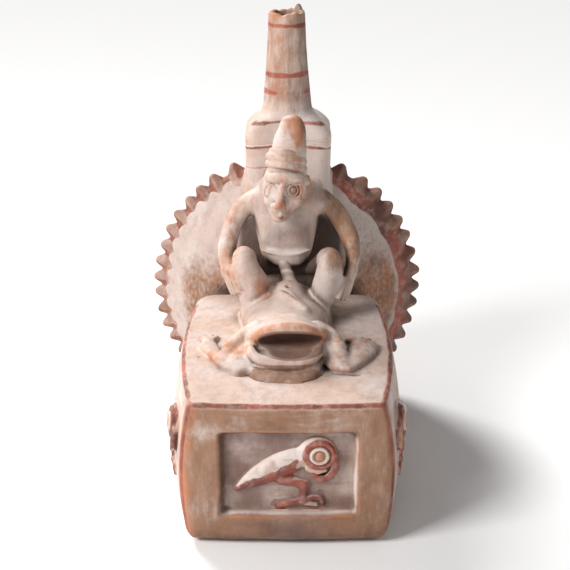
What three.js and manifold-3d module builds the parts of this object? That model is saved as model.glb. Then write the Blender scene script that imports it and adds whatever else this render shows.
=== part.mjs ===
// Fired clay bottle: a box plinth, an upright spiny shell, a tower with a tall spout,
// and a seated figure behind a crouching toad on the plinth's deck.
// Millimetres, +Z up, front towards -Y. Hand-built clay pieces, luted together.
import * as THREE from 'three';
import { mergeVertices } from 'three/addons/utils/BufferGeometryUtils.js';
import Module from 'manifold-3d';

const wasm = await Module();
wasm.setup();

// Driving dimensions
const SEAM = 0.3; // clearance kept at every luted joint
const FAR = 400; // a length past the whole bottle, for cutting blocks

const PLINTH = {
  height: 76.6, // ground to deck
  length: 127.7, // front face to rear face
  frontHalf: 44, // half width across the front edge of the deck
  sideHalf: 50.3, // half width across the middle of the deck
  rearHalf: 48.5, // half width across the rear of the deck
  belly: 4.4, // how far the walls swell past the deck's outline
  bellyHeight: 34, // height where they swell most
  bow: 1.5, // how far the front face bows out in the middle
  frontCorner: 3.5,
  rearCorner: 14,
  wall: 7,
  deck: 5.5,
  base: 6,
  footRound: 8, // rounding of the bottom edge
  deckRound: 1.6, // rounding of the deck's edge
};

const RECESS = {
  side: 15, // margin left at each side of the front face
  below: 17.1,
  above: 14.6,
  depth: 4.2,
  bevelSide: 3.6, // width of the sloping edge at the sides
  bevelLevel: 2.7, // and above and below
  shift: 0.7, // the frame sits a little right of the middle
};

const BIRD = {
  margin: 1.2, // clay left free round the bird in its frame
  relief: 3.4, // how far the front bird stands out
  sideRelief: 5.2, // how far the side birds stand out
  sideSetback: 37.1, // middle of a side bird behind the front face
  sideHeight: 42, // middle of a side bird above the ground
};

const SHELL = {
  radius: 71.8, // rim, before the spikes
  stretch: 1.04, // the shell is a little taller than it is wide
  footCut: 6.4, // how much is cut off flat underneath
  dome: 68, // radius of each valve's dome
  depth: 33, // middle plane to the top of a dome
  domeEdge: 7.5, // middle plane to the edge of a dome
  domePower: 2.2, // how full the dome is
  wall: 5,
  rimHalf: 5, // half thickness of the rim
  rimWidth: 9.5, // the rim band's width, measured inwards
  rimBevel: 1.6,
};

const SPIKE = {
  count: 15, // on each side
  length: 5.7,
  gap: 0.4, // clear width left between two spikes
  depthHalf: 5.2,
  tip: 0.16, // tip width as a share of the base
  waist: { height: 0.62, width: 0.5 }, // shares where the sides turn a little inwards
};
// Angles from the top of the shell, in degrees: the first spike, the wider first gap, then the pitch
const SPIKE_ROWS = {
  left: { side: -1, first: 25.1, firstGap: 10.8, pitch: 7.68 },
  right: { side: 1, first: 26.5, firstGap: 11.8, pitch: 8.07 },
};

const TOWER = {
  halfWidth: 23.5,
  halfDepth: 20,
  corner: 6,
  wall: 5,
  rise: 19.6, // shell's top to the tower's shoulder
  skirt: 34, // how far the walls reach down beside the shell
  shoulder: 8.6, // height of the sloping shoulder
  edge: 1.6, // rounding of the shoulder's lower edge
  ledge: 1.5, // shell left standing inside the tower's walls, round the opening between them
};

const SPOUT = {
  baseRadius: 14.4,
  neckRadius: 11.9, // where the flare of the foot ends
  neckShare: 0.34, // how far up that is
  rimRadius: 9.7,
  height: 55.2,
  wall: 3,
  lip: 0.4, // rounding of the rim
  fillet: 1.2, // clay smeared round the foot
  nub: 3.5, // height of the broken nub left on the rim
  nubAngle: 40, // degrees round from +X towards the rear
};

const PASSAGE = { radius: 12, collar: 17 }; // hole between plinth and shell, and its clay collar

const TOAD = { mouthHalf: 14.8, mouthShift: 1.6, mouthTop: 16.8, jawLine: 8, ventRadius: 1.3, ventDepth: 6 };

const SEAT_AHEAD = 13.3; // the figure's and toad's places are measured from this far before the tower

// Worked out from the sizes above
const discZ = SHELL.radius * SHELL.stretch - SHELL.footCut;
const discTop = discZ + SHELL.radius * SHELL.stretch;
const plinthRear = -(SHELL.depth + SEAM);
const plinthFront = plinthRear - PLINTH.length;
const deckUnder = PLINTH.height - PLINTH.deck;
const shoulderZ = discTop + TOWER.rise;
const spoutZ = shoulderZ + TOWER.shoulder;
const passageZ = (PLINTH.base + deckUnder) / 2;
const towerLow = discTop - TOWER.skirt;
const seatLine = -TOWER.halfDepth - SEAT_AHEAD;

// Clay colours
const CLAY = {
  cream: new THREE.MeshStandardMaterial({ color: 0xd9bfae, roughness: 0.82, metalness: 0 }),
  buff: new THREE.MeshStandardMaterial({ color: 0xb18c74, roughness: 0.85, metalness: 0 }),
  pink: new THREE.MeshStandardMaterial({ color: 0xc8a79a, roughness: 0.84, metalness: 0 }),
  orange: new THREE.MeshStandardMaterial({ color: 0xd09a75, roughness: 0.8, metalness: 0 }),
  red: new THREE.MeshStandardMaterial({ color: 0x9a5648, roughness: 0.8, metalness: 0 }),
};

// Solid helpers

function solid(positions, index) {
  const p = (i) => new THREE.Vector3().fromArray(positions, i * 3);
  let volume = 0;
  for (let i = 0; i < index.length; i += 3) {
    volume += p(index[i]).dot(p(index[i + 1]).cross(p(index[i + 2])));
  }
  const triVerts = Uint32Array.from(index);
  if (volume < 0) {
    triVerts.reverse();
  }
  const mesh = new wasm.Mesh({ numProp: 3, vertProperties: Float32Array.from(positions), triVerts });
  return new wasm.Manifold(mesh);
}

function fromGeometry(source) {
  const geometry = source.index ? source : source.clone();
  geometry.deleteAttribute('normal');
  geometry.deleteAttribute('uv');
  const merged = mergeVertices(geometry, 1e-4);
  const index = [];
  for (let i = 0; i < merged.index.count; i += 3) {
    const [a, b, c] = [0, 1, 2].map((k) => merged.index.getX(i + k));
    if (a !== b && b !== c && c !== a) {
      index.push(a, b, c);
    }
  }
  return solid([...merged.attributes.position.array], index);
}

// Joins rings of equal length; the ends are closed by flat fans, or the last ring meets the first
function loft(rings, loops = false) {
  const count = rings[0].length;
  const positions = rings.flat().flatMap((p) => [p.x, p.y, p.z]);
  const index = [];
  const spans = loops ? rings.length : rings.length - 1;
  for (let i = 0; i < spans; i++) {
    const a = i * count;
    const b = ((i + 1) % rings.length) * count;
    for (let j = 0; j < count; j++) {
      const k = (j + 1) % count;
      index.push(a + j, a + k, b + k, a + j, b + k, b + j);
    }
  }
  if (!loops) {
    for (const [ring, turned] of [[0, true], [rings.length - 1, false]]) {
      const centre = new THREE.Vector3();
      rings[ring].forEach((p) => centre.addScaledVector(p, 1 / count));
      const middle = positions.length / 3;
      positions.push(centre.x, centre.y, centre.z);
      for (let j = 0; j < count; j++) {
        const [a, b] = [ring * count + j, ring * count + ((j + 1) % count)];
        index.push(middle, turned ? b : a, turned ? a : b);
      }
    }
  }
  return solid(positions, index);
}

function block(x0, x1, y0, y1, z0, z1) {
  const box = new THREE.BoxGeometry(x1 - x0, y1 - y0, z1 - z0);
  box.translate((x0 + x1) / 2, (y0 + y1) / 2, (z0 + z1) / 2);
  return fromGeometry(box);
}

const joined = (pieces) => pieces.reduce((sum, piece) => sum.add(piece));

// A round bar along Y
function rod(radius, y0, y1, x, z, sides = 24) {
  const bar = new THREE.CylinderGeometry(radius, radius, y1 - y0, sides);
  bar.translate(x, (y0 + y1) / 2, z);
  return fromGeometry(bar);
}

function ellipsoid(centre, radii, turn = new THREE.Euler()) {
  const ball = new THREE.SphereGeometry(1, 8, 5);
  const place = new THREE.Matrix4().compose(centre, new THREE.Quaternion().setFromEuler(turn), radii);
  return fromGeometry(ball.applyMatrix4(place));
}

// A tapering roll of clay along a smooth curve, with rounded ends
// flat thins it along up; grow thickens it all round
function limb(points, radii, options = {}) {
  const { up = new THREE.Vector3(0, 0, 1), flat = 1, sides = 8, steps = 6, grow = 0 } = options;
  const curve = new THREE.CatmullRomCurve3(points);
  const radiusAt = (t) => {
    const at = t * (radii.length - 1);
    const low = Math.min(Math.floor(at), radii.length - 2);
    return THREE.MathUtils.lerp(radii[low], radii[low + 1], at - low) + grow;
  };
  const ringAt = (t, along, scale) => {
    const tangent = curve.getTangent(t);
    const side = new THREE.Vector3().crossVectors(tangent, up).normalize();
    const lift = new THREE.Vector3().crossVectors(side, tangent);
    const radius = radiusAt(t);
    const centre = curve.getPoint(t).addScaledVector(tangent, along * radius);
    return Array.from({ length: sides }, (_, i) => {
      const angle = (i / sides) * 2 * Math.PI;
      return centre.clone()
        .addScaledVector(side, Math.cos(angle) * radius * scale)
        .addScaledVector(lift, Math.sin(angle) * radius * scale * flat);
    });
  };
  const end = { along: 0.6, width: 0.68 };
  const rings = [ringAt(0, -end.along, end.width)];
  for (let i = 0; i <= steps; i++) {
    rings.push(ringAt(i / steps, 0, 1));
  }
  rings.push(ringAt(1, end.along, end.width));
  return loft(rings);
}

// Places on the deck: x to the right, y from the seat line, z above the deck
const onDeck = (x, y, z) => new THREE.Vector3(x, seatLine + y, PLINTH.height + z);
const path = (...places) => places.map((place) => onDeck(...place));
const soften = (s, power) => Math.sign(s) * Math.abs(s) ** power;

// An upright body from levels [z, x, half width, front y, back y], in deck places
function upright(levels, { grow = 0, sides = 16, power = 0.8 } = {}) {
  const rings = levels.map(([z, x, half, front, back], n) => {
    const rise = n === 0 ? -grow : n === levels.length - 1 ? grow : 0;
    return Array.from({ length: sides }, (_, i) => {
      const angle = (i / sides) * 2 * Math.PI;
      const across = (half + grow) * soften(Math.cos(angle), power);
      const deep = ((back - front) / 2 + grow) * soften(Math.sin(angle), power);
      return onDeck(x + across, (front + back) / 2 + deep, z + rise);
    });
  });
  return loft(rings);
}

// A body lying along Y with a flat underside, from stations [y, half width, height, x], in deck places
function lying(stations, { grow = 0, sides = 12, low = SEAM } = {}) {
  const rings = stations.map(([y, half, height, x = 0], n) => {
    const reach = n === 0 ? grow : n === stations.length - 1 ? -grow : 0;
    return Array.from({ length: sides + 1 }, (_, i) => {
      const angle = (i / sides) * Math.PI;
      const across = (half + grow) * soften(Math.cos(angle), 0.75);
      return onDeck(x + across, y + reach, low + (height + grow - low) * Math.sin(angle) ** 0.7);
    });
  });
  return loft(rings);
}

// Plinth

const bellyAt = (z) => 1 - ((z - PLINTH.bellyHeight) / (PLINTH.height - PLINTH.bellyHeight)) ** 2;

// Half widths and ends of the plinth's plan at a height
function planAt(z, inset) {
  const swell = PLINTH.belly * bellyAt(z) - inset;
  return {
    front: PLINTH.frontHalf + swell,
    side: PLINTH.sideHalf + swell,
    rear: PLINTH.rearHalf + swell,
    y0: plinthFront + inset,
    y1: plinthRear - inset,
  };
}

// Plan outline of the plinth at a height, drawn inwards by inset
function plinthRing(z, inset) {
  const plan = planAt(z, inset);
  const corner = Math.max(PLINTH.frontCorner - inset, 0.8);
  const rearCorner = Math.max(PLINTH.rearCorner - inset, 2);
  const { y0 } = plan;
  const half = new THREE.Path();
  half.moveTo(0, y0);
  half.quadraticCurveTo(plan.front / 2, y0, plan.front - corner, y0 + PLINTH.bow);
  half.quadraticCurveTo(plan.front, y0 + PLINTH.bow, plan.front, y0 + PLINTH.bow + corner);
  const [from, to] = [y0 + PLINTH.bow + corner, plan.y1 - rearCorner];
  half.quadraticCurveTo(2 * plan.side - (plan.front + plan.rear) / 2, (from + to) / 2, plan.rear, to);
  half.quadraticCurveTo(plan.rear, plan.y1, plan.rear - rearCorner, plan.y1);
  half.lineTo(0, plan.y1);
  const right = half.getPoints(4);
  const left = right.slice(1, -1).reverse().map((p) => new THREE.Vector2(-p.x, p.y));
  return [...right, ...left].map((p) => new THREE.Vector3(p.x, p.y, z));
}

// The plinth's outer form, swollen all round by grow
function plinthForm(grow = 0) {
  const round = PLINTH.footRound;
  const edge = PLINTH.deckRound;
  const top = PLINTH.height;
  const levels = [
    [-grow, round], [round * 0.15, round * 0.5], [round * 0.5, round * 0.16], [round, 0],
    [PLINTH.bellyHeight - 10, 0], [PLINTH.bellyHeight + 10, 0], [top - 14, 0], [top - edge, 0],
    [top - edge * 0.3, edge * 0.35], [top + grow, edge],
  ];
  return loft(levels.map(([z, inset]) => plinthRing(z, inset - grow)));
}

function plinthHollow() {
  const levels = [PLINTH.base, PLINTH.bellyHeight - 10, PLINTH.bellyHeight + 10, deckUnder];
  return loft(levels.map((z) => plinthRing(z, PLINTH.wall)));
}

function passageHole() {
  return rod(PASSAGE.radius, plinthRear - PLINTH.wall - 2, 0, 0, passageZ);
}

// Where the front frame lies, on the face and on its floor
function recessFrame() {
  const half = PLINTH.frontHalf + PLINTH.belly - RECESS.side;
  const outer = {
    x0: RECESS.shift - half, x1: RECESS.shift + half, z0: RECESS.below, z1: PLINTH.height - RECESS.above,
  };
  const { bevelSide, bevelLevel } = RECESS;
  const floor = {
    x0: outer.x0 + bevelSide, x1: outer.x1 - bevelSide, z0: outer.z0 + bevelLevel, z1: outer.z1 - bevelLevel,
  };
  return { outer, floor, floorY: plinthFront + RECESS.depth };
}

function recessCut() {
  const { floor, floorY } = recessFrame();
  const beyond = 2;
  const open = 1 + beyond / RECESS.depth; // how many bevels wider the cut is before the face
  const ring = (y, wider) => {
    const [dx, dz] = [RECESS.bevelSide * wider, RECESS.bevelLevel * wider];
    const [x0, x1, z0, z1] = [floor.x0 - dx, floor.x1 + dx, floor.z0 - dz, floor.z1 + dz];
    return [[x0, z0], [x1, z0], [x1, z1], [x0, z1]].map(([x, z]) => new THREE.Vector3(x, y, z));
  };
  return loft([ring(plinthFront - beyond, open), ring(floorY, 0)]);
}

function buildPlinth(add) {
  const form = plinthForm();
  const slab = (z0, z1) => block(-FAR, FAR, -FAR, FAR, z0, z1);
  const across = (x0, x1, y0, y1) => block(x0, x1, y0, y1, -FAR, FAR);
  add('plinth_base', CLAY.buff, form.subtract(slab(PLINTH.base, FAR)));
  add('plinth_deck', CLAY.cream, form.subtract(slab(-FAR, deckUnder)));
  const walls = form.subtract(plinthHollow()).intersect(slab(PLINTH.base + SEAM, deckUnder - SEAM));
  const [front, rear] = [plinthFront + PLINTH.bow + PLINTH.wall, plinthRear - PLINTH.wall];
  add('plinth_front_panel', CLAY.buff, walls.subtract(across(-FAR, FAR, front, FAR)).subtract(recessCut()));
  add('plinth_rear_panel', CLAY.buff, walls.subtract(across(-FAR, FAR, -FAR, rear)).subtract(passageHole()));
  add('plinth_left_panel', CLAY.cream, walls.intersect(across(-FAR, 0, front + SEAM, rear - SEAM)));
  add('plinth_right_panel', CLAY.cream, walls.intersect(across(0, FAR, front + SEAM, rear - SEAM)));
}

// Birds in relief: a round head with a big ringed eye and a hooked beak, a body with one folded wing,
// a pointed tail and one bent leg with spread toes. Facing +u, w up, d out of the wall.

const BIRD_SIZE = { width: 44, height: 38, middleU: -0.8, middleW: 40 };

function birdForms(relief) {
  const P = (u, w, d = 0) => new THREE.Vector3(u, -d * relief, w);
  const up = new THREE.Vector3(0, -1, 0);
  const roll = (points, radii, flat, steps = 3) => limb(points, radii, { up, flat, sides: 5, steps });
  const head = ellipsoid(P(13.2, 49.2), new THREE.Vector3(9, relief, 9.3));
  const brow = fromGeometry(new THREE.TorusGeometry(5, 1.2, 4, 9)
    .applyMatrix4(new THREE.Matrix4().makeRotationX(Math.PI / 2))
    .translate(14.7, -relief * 0.84, 50.6));
  const eye = ellipsoid(P(14.7, 50.6, 0.85), new THREE.Vector3(2.6, relief * 0.3, 2.6));
  const lean = new THREE.Euler(0, -0.5, 0);
  const body = ellipsoid(P(-3, 43.5), new THREE.Vector3(14.5, relief * 0.95, 6.6), lean);
  const tail = roll([P(-7, 39), P(-15, 34.2), P(-23.4, 30.4)], [6, 4, 1.6], relief * 0.13);
  const wing = roll([P(2, 41.5, 0.6), P(-7, 37.8, 0.62), P(-14, 34, 0.5)], [3.2, 2.8, 1.4], 0.5);
  const hook = [P(20.2, 47, 0.2), P(20.8, 42, 0.3), P(17.4, 38.6, 0.3), P(13.4, 40.6, 0.2)];
  const beak = roll(hook, [2.6, 2.4, 2, 1.2], 0.8);
  const thigh = roll([P(-2, 37.5), P(4, 35), P(9.4, 33.6)], [3.4, 2.6, 2], relief * 0.24);
  const shin = roll([P(9.4, 33.6), P(9, 30), P(7.8, 25.2)], [1.9, 1.6, 1.6], relief * 0.3);
  const toes = [[-4.4, 21.8], [15.6, 22.4], [12.4, 27.2]].map(([u, w]) =>
    roll([P(7.8, 25.2), P((7.8 + u) / 2, (25.2 + w) / 2 + 0.6), P(u, w)], [1.7, 1.5, 1.1], relief * 0.3, 2));
  return [head, brow, eye, body, tail, wing, beak, thigh, shin, ...toes];
}

// The relief, scaled about its middle and moved on to a wall; warp maps a place (u, d, w) to space
function bird(scale, relief, warp) {
  const whole = joined(birdForms(relief));
  const root = 1.2; // how deep the relief reaches into the wall before it is trimmed
  const mesh = whole.intersect(block(-FAR, FAR, -FAR, root, -FAR, FAR)).getMesh();
  const positions = [];
  for (let i = 0; i < mesh.vertProperties.length; i += 3) {
    const [u, d, w] = mesh.vertProperties.slice(i, i + 3);
    const p = warp((u - BIRD_SIZE.middleU) * scale, -d, (w - BIRD_SIZE.middleW) * scale);
    positions.push(p.x, p.y, p.z);
  }
  return solid(positions, [...mesh.triVerts]);
}

function buildFrontBird(add) {
  const { floor, floorY } = recessFrame();
  const scale = Math.min(
    (floor.z1 - floor.z0 - 2 * BIRD.margin) / BIRD_SIZE.height,
    (floor.x1 - floor.x0 - 2 * BIRD.margin) / BIRD_SIZE.width);
  const [x, z] = [(floor.x0 + floor.x1) / 2, (floor.z0 + floor.z1) / 2];
  const placed = bird(scale, BIRD.relief, (u, d, w) => new THREE.Vector3(x + u, floorY - d, z + w));
  const behind = block(-FAR, FAR, floorY - SEAM, FAR, -FAR, FAR);
  add('front_bird', CLAY.red, placed.subtract(behind));
}

// Outer face of a side wall at a place along Y and a height
function wallX(y, z) {
  const plan = planAt(z, 0);
  const from = plan.y0 + PLINTH.bow + PLINTH.frontCorner;
  const to = plan.y1 - PLINTH.rearCorner;
  const t = THREE.MathUtils.clamp((y - from) / (to - from), 0, 1);
  const control = 2 * plan.side - (plan.front + plan.rear) / 2;
  return (1 - t) ** 2 * plan.front + 2 * t * (1 - t) * control + t ** 2 * plan.rear;
}

function buildSideBirds(add) {
  const scale = (PLINTH.height - RECESS.above - RECESS.below - 2 * RECESS.bevelSide) / BIRD_SIZE.height;
  const skin = plinthForm(SEAM);
  for (const [name, side] of [['left_bird', -1], ['right_bird', 1]]) {
    const warp = (u, d, w) => {
      const y = plinthFront + BIRD.sideSetback - u;
      const z = BIRD.sideHeight + w;
      return new THREE.Vector3(side * (wallX(y, z) + d), y, z);
    };
    add(name, CLAY.red, bird(scale, BIRD.sideRelief, warp).subtract(skin));
  }
}

// Shell: two domed valves on a rim band, cut flat underneath

const domeY = (r) =>
  SHELL.domeEdge + (SHELL.depth - SHELL.domeEdge) * (1 - (r / SHELL.dome) ** SHELL.domePower);

// Turns a closed profile [radius, y] about the shell's level axis
function turned(profile) {
  const points = [...profile, profile[0]].map(([r, y]) => new THREE.Vector2(r, y));
  const open = profile[0][0] === 0 ? points.slice(0, -1) : points;
  const geometry = new THREE.LatheGeometry(open, 32);
  geometry.scale(1, 1, SHELL.stretch).translate(0, 0, discZ);
  return fromGeometry(geometry);
}

// Radii out to the edge, closer together where the dome steepens
const domeSteps = (count, radius) =>
  Array.from({ length: count + 1 }, (_, i) => radius * Math.sin((i / count) * Math.PI / 2));

// The whole shell as one solid form, swollen by grow, for seating what touches it
function shellForm(grow) {
  const side = domeSteps(5, SHELL.dome).map((r) => [r === 0 ? 0 : r + grow * 0.5, domeY(r) + grow * 1.15]);
  const { radius, rimHalf, rimBevel } = SHELL;
  const rim = [[radius - rimBevel + grow, rimHalf + grow], [radius + grow, rimHalf - rimBevel + grow]];
  const half = [...side, ...rim];
  return turned([...half, ...half.slice().reverse().map(([r, y]) => [r, -y])]);
}

// Cuts the shell flat underneath, and opens it into the tower
function footAndWindow() {
  const ground = block(-FAR, FAR, -FAR, FAR, -FAR, 0);
  const { x, y } = { x: towerHollowHalf.x - TOWER.ledge, y: towerHollowHalf.y - TOWER.ledge };
  return ground.add(block(-x, x, -y, y, towerLow, FAR));
}

function valve(side) {
  const outer = domeSteps(5, SHELL.dome).map((r) => [r, side * domeY(r)]);
  const seat = side * (SHELL.rimHalf + SEAM);
  const innerRadius = SHELL.dome - SHELL.wall;
  const inner = domeSteps(3, innerRadius).reverse().map((r) => {
    const share = r / innerRadius;
    return [r, side * (domeY(share * SHELL.dome) - SHELL.wall)];
  }).filter(([, y]) => Math.abs(y) > SHELL.rimHalf + 1);
  return turned([...outer, [SHELL.dome, seat], [innerRadius, seat], ...inner]);
}

function buildShell(add) {
  const cuts = footAndWindow();
  add('shell_front_valve', CLAY.pink, valve(-1).subtract(cuts).subtract(passageHole()));
  add('shell_rear_valve', CLAY.pink, valve(1).subtract(cuts));
  const [r, t, bevel] = [SHELL.radius, SHELL.rimHalf, SHELL.rimBevel];
  const inside = r - SHELL.rimWidth;
  const edge = [[r - bevel, -t], [r, bevel - t], [r, t - bevel], [r - bevel, t]];
  const band = turned([[inside, -t], ...edge, [inside, t]]);
  add('shell_rim_band', CLAY.red, band.subtract(cuts));
  const [near, outside] = [plinthRear + SEAM, -SHELL.rimHalf];
  const collar = rod(PASSAGE.collar, near, outside, 0, passageZ)
    .subtract(rod(PASSAGE.radius, near - 1, outside + 1, 0, passageZ));
  add('passage_collar', CLAY.buff, collar.subtract(shellForm(SEAM)));
}

// Spikes: four-sided pyramids with blunt tips, standing on the rim

function spike(angle, side, width) {
  const a = THREE.MathUtils.degToRad(angle);
  const [sideways, upwards] = [side * Math.sin(a), Math.cos(a)];
  const foot = new THREE.Vector3(sideways * SHELL.radius, 0, discZ + upwards * SHELL.radius * SHELL.stretch);
  const out = new THREE.Vector3(sideways * SHELL.stretch, 0, upwards).normalize();
  const along = new THREE.Vector3(out.z, 0, -out.x);
  const rings = [[0, 1], [SPIKE.waist.height, SPIKE.waist.width], [1, SPIKE.tip]].map(([height, share]) =>
    [[1, 0], [0, 1], [-1, 0], [0, -1]].map(([w, d]) => foot.clone()
      .addScaledVector(out, SEAM + height * SPIKE.length)
      .addScaledVector(along, w * share * width / 2)
      .add(new THREE.Vector3(0, d * share * SPIKE.depthHalf, 0))));
  return loft(rings);
}

function buildSpikes(add) {
  for (const [name, row] of Object.entries(SPIKE_ROWS)) {
    const width = THREE.MathUtils.degToRad(row.pitch) * SHELL.radius - SPIKE.gap;
    for (let i = 0; i < SPIKE.count; i++) {
      const angle = row.first + (i > 0 ? row.firstGap + (i - 1) * row.pitch : 0);
      const label = String(i + 1).padStart(2, '0');
      add(`spike_${name}_${label}`, CLAY.red, spike(angle, row.side, width));
    }
  }
}

// Tower and spout

function roundedPlan(halfX, halfY, corner) {
  const plan = new THREE.Path();
  plan.moveTo(halfX, corner - halfY);
  plan.absarc(halfX - corner, halfY - corner, corner, 0, Math.PI / 2);
  plan.absarc(corner - halfX, halfY - corner, corner, Math.PI / 2, Math.PI);
  plan.absarc(corner - halfX, corner - halfY, corner, Math.PI, Math.PI * 1.5);
  plan.absarc(halfX - corner, corner - halfY, corner, Math.PI * 1.5, Math.PI * 2);
  return plan;
}

// The tower's outer form, swollen by grow, from z0 to z1
function towerForm(z0, z1, grow = 0) {
  const plan = roundedPlan(TOWER.halfWidth + grow, TOWER.halfDepth + grow, TOWER.corner + grow);
  const shape = new THREE.Shape(plan.getPoints(3).slice(1));
  const geometry = new THREE.ExtrudeGeometry(shape, { depth: z1 - z0, bevelEnabled: false });
  return fromGeometry(geometry.translate(0, 0, z0));
}

const towerHollowHalf = { x: TOWER.halfWidth - TOWER.wall, y: TOWER.halfDepth - TOWER.wall };

// A level ring whose plan runs from the tower's rounded rectangle (0) to a circle (1)
function shoulderRing(z, halfX, halfY, radius, blend) {
  return Array.from({ length: 24 }, (_, i) => {
    const a = ((i + 0.5) / 24) * 2 * Math.PI;
    const square = new THREE.Vector2(soften(Math.cos(a), 0.42) * halfX, soften(Math.sin(a), 0.42) * halfY);
    const round = new THREE.Vector2(Math.cos(a) * radius, Math.sin(a) * radius);
    const p = square.lerp(round, blend);
    return new THREE.Vector3(p.x, p.y, z);
  });
}

function buildTower(add) {
  const { halfWidth, halfDepth, corner, wall, edge } = TOWER;
  const { x, y } = towerHollowHalf;
  const hollow = new THREE.Shape(roundedPlan(x, y, corner - wall / 2).getPoints(2).slice(1));
  const core = new THREE.ExtrudeGeometry(hollow, { depth: FAR, bevelEnabled: false });
  core.translate(0, 0, towerLow - 1);
  const box = towerForm(towerLow, shoulderZ - SEAM).subtract(fromGeometry(core)).subtract(shellForm(SEAM));
  add('tower_wall', CLAY.cream, box);
  const bore = SPOUT.baseRadius - SPOUT.wall;
  const foot = SPOUT.baseRadius + SPOUT.fillet;
  const rings = [
    shoulderRing(shoulderZ, halfWidth, halfDepth, 0, 0),
    shoulderRing(shoulderZ + edge, halfWidth - edge, halfDepth - edge, 0, 0),
    shoulderRing(spoutZ - 2, (halfWidth + foot) / 2, (halfDepth + foot) / 2, foot, 0.76),
    shoulderRing(spoutZ - SEAM, 0, 0, SPOUT.baseRadius, 1),
    shoulderRing(spoutZ - SEAM, 0, 0, bore, 1),
    shoulderRing(shoulderZ, x, y, bore, 0.25),
  ];
  add('tower_shoulder', CLAY.cream, loft(rings, true));
}

// Radius of the spout's outside at a share of its height
function spoutRadius(share) {
  const { baseRadius, neckRadius, rimRadius, neckShare } = SPOUT;
  const flare = (baseRadius - neckRadius) * (1 - Math.min(share / neckShare, 1)) ** 1.4;
  const above = Math.max((share - neckShare) / (1 - neckShare), 0);
  return rimRadius + flare + (neckRadius - rimRadius) * (1 - above) ** 1.2;
}

function spoutRing(share, inset, rim) {
  const sides = 22;
  const turn = 2 * Math.PI;
  const nubAt = THREE.MathUtils.degToRad(SPOUT.nubAngle);
  return Array.from({ length: sides }, (_, i) => {
    const a = (i / sides) * turn;
    const away = Math.abs(((a - nubAt + 1.5 * turn) % turn) - turn / 2);
    const chip = rim ? SPOUT.nub * Math.exp(-((away / 0.3) ** 2)) : 0;
    const radius = spoutRadius(share) - inset;
    const z = spoutZ + share * SPOUT.height + chip;
    return new THREE.Vector3(Math.cos(a) * radius, Math.sin(a) * radius, z);
  });
}

function buildSpout(add) {
  const { wall, lip, neckShare } = SPOUT;
  const below = 0.94; // share of the height where the rim begins
  const outside = [0, 0.07, 0.18, neckShare, 0.6, below].map((share) => spoutRing(share, 0, false));
  const rim = [spoutRing(1, lip, true), spoutRing(1, wall - lip, true)];
  const inside = [below, neckShare, 0.12, 0].map((share) => spoutRing(share, wall, false));
  add('spout', CLAY.cream, loft([...outside, ...rim, ...inside], true));
}

// Toad: body with the upper jaw, lower jaw and two folded limbs. Each station is [y, half width, height, x]

const TOAD_BODY = [
  [-12, 11, 5], [-16, 18, 11, -0.6], [-23, 23.4, 16.6, -1], [-31, 24.4, 19, -1], [-41, 23, 17.4, -0.6],
  [-54, 20.6, 14.6], [-66, 20.2, 17], [-75, 20.6, 20.6, 0.4], [-80.5, 19, 21.6, 1], [-82.5, 17.4, 20.4, 1.2],
];
const TOAD_JAW = [
  [-66, 14, 7], [-70, 18.6, 7.4], [-82, 20, 6.6], [-91, 19.4, 6.6, -0.3], [-95.5, 18, 8.8, -0.6],
  [-98, 16, 8.4, -0.8], [-101, 13, 4.6, -1], [-103, 9, 1.8, -1],
];

function toadBody(grow = 0) {
  const jawStart = onDeck(0, TOAD_JAW[0][0] + 1, 0).y;
  const jawRoom = block(-FAR, FAR, -FAR, jawStart, -FAR, PLINTH.height + TOAD.jawLine - grow);
  return lying(TOAD_BODY, { grow }).subtract(jawRoom);
}

// The hollow of the mouth, from the jaw line to the upper lip: stations [y, width share, height share]
function mouthHollow() {
  const rise = TOAD.mouthTop - TOAD.jawLine;
  const stations = [[-67, 0.65, 0.52], [-72, 0.9, 0.86], [-80, 1, 0.98], [-90, 1, 1]];
  const rings = stations.map(([y, width, height]) => Array.from({ length: 14 }, (_, i) => {
    const a = (i / 14) * 2 * Math.PI;
    const across = TOAD.mouthShift + TOAD.mouthHalf * width * Math.cos(a);
    return onDeck(across, y, TOAD.jawLine + rise * height * soften(Math.sin(a), 0.8));
  }));
  return loft(rings);
}

function toadJaw(grow = 0) {
  return lying(TOAD_JAW, { grow });
}

// A folded limb: thigh forward to the knee, shank back along the deck to a spread foot
function toadLimb(side, knee, foot, grow = 0) {
  const up = new THREE.Vector3(0, 0, 1);
  const P = (x, y, z) => onDeck(side * x, y, z);
  const thigh = limb([P(17, -72, 9.6), P(23, -80, 8), P(...knee)], [5.4, 5.4, 4.4], { up, grow, steps: 3 });
  const heel = P((knee[0] + foot[0]) / 2 + 1.4, (knee[1] + foot[1]) / 2, 3);
  const shank = limb([P(...knee), heel, P(...foot)], [4.2, 3.6, 4.4], { up, flat: 0.62, grow, steps: 3 });
  const toes = [-26, -6, 14, 34].map((turn) => {
    const a = THREE.MathUtils.degToRad(turn);
    const tip = [foot[0] + 6.4 * Math.sin(a), foot[1] + 7 * Math.cos(a), 1.4];
    const middle = P((foot[0] + tip[0]) / 2, (foot[1] + tip[1]) / 2, 2);
    return limb([P(...foot), middle, P(...tip)], [1.8, 1.5, 1.2], { up, grow, sides: 5, steps: 1 });
  });
  return joined([thigh, shank, ...toes])
    .intersect(block(-FAR, FAR, -FAR, FAR, PLINTH.height + SEAM - grow, FAR));
}

const toadLimbs = {
  toad_left_limb: (grow) => toadLimb(-1, [28.6, -90, 4.8], [39.6, -67, 2.4], grow),
  toad_right_limb: (grow) => toadLimb(1, [27, -86, 5], [38.8, -64, 2.6], grow),
};

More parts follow.
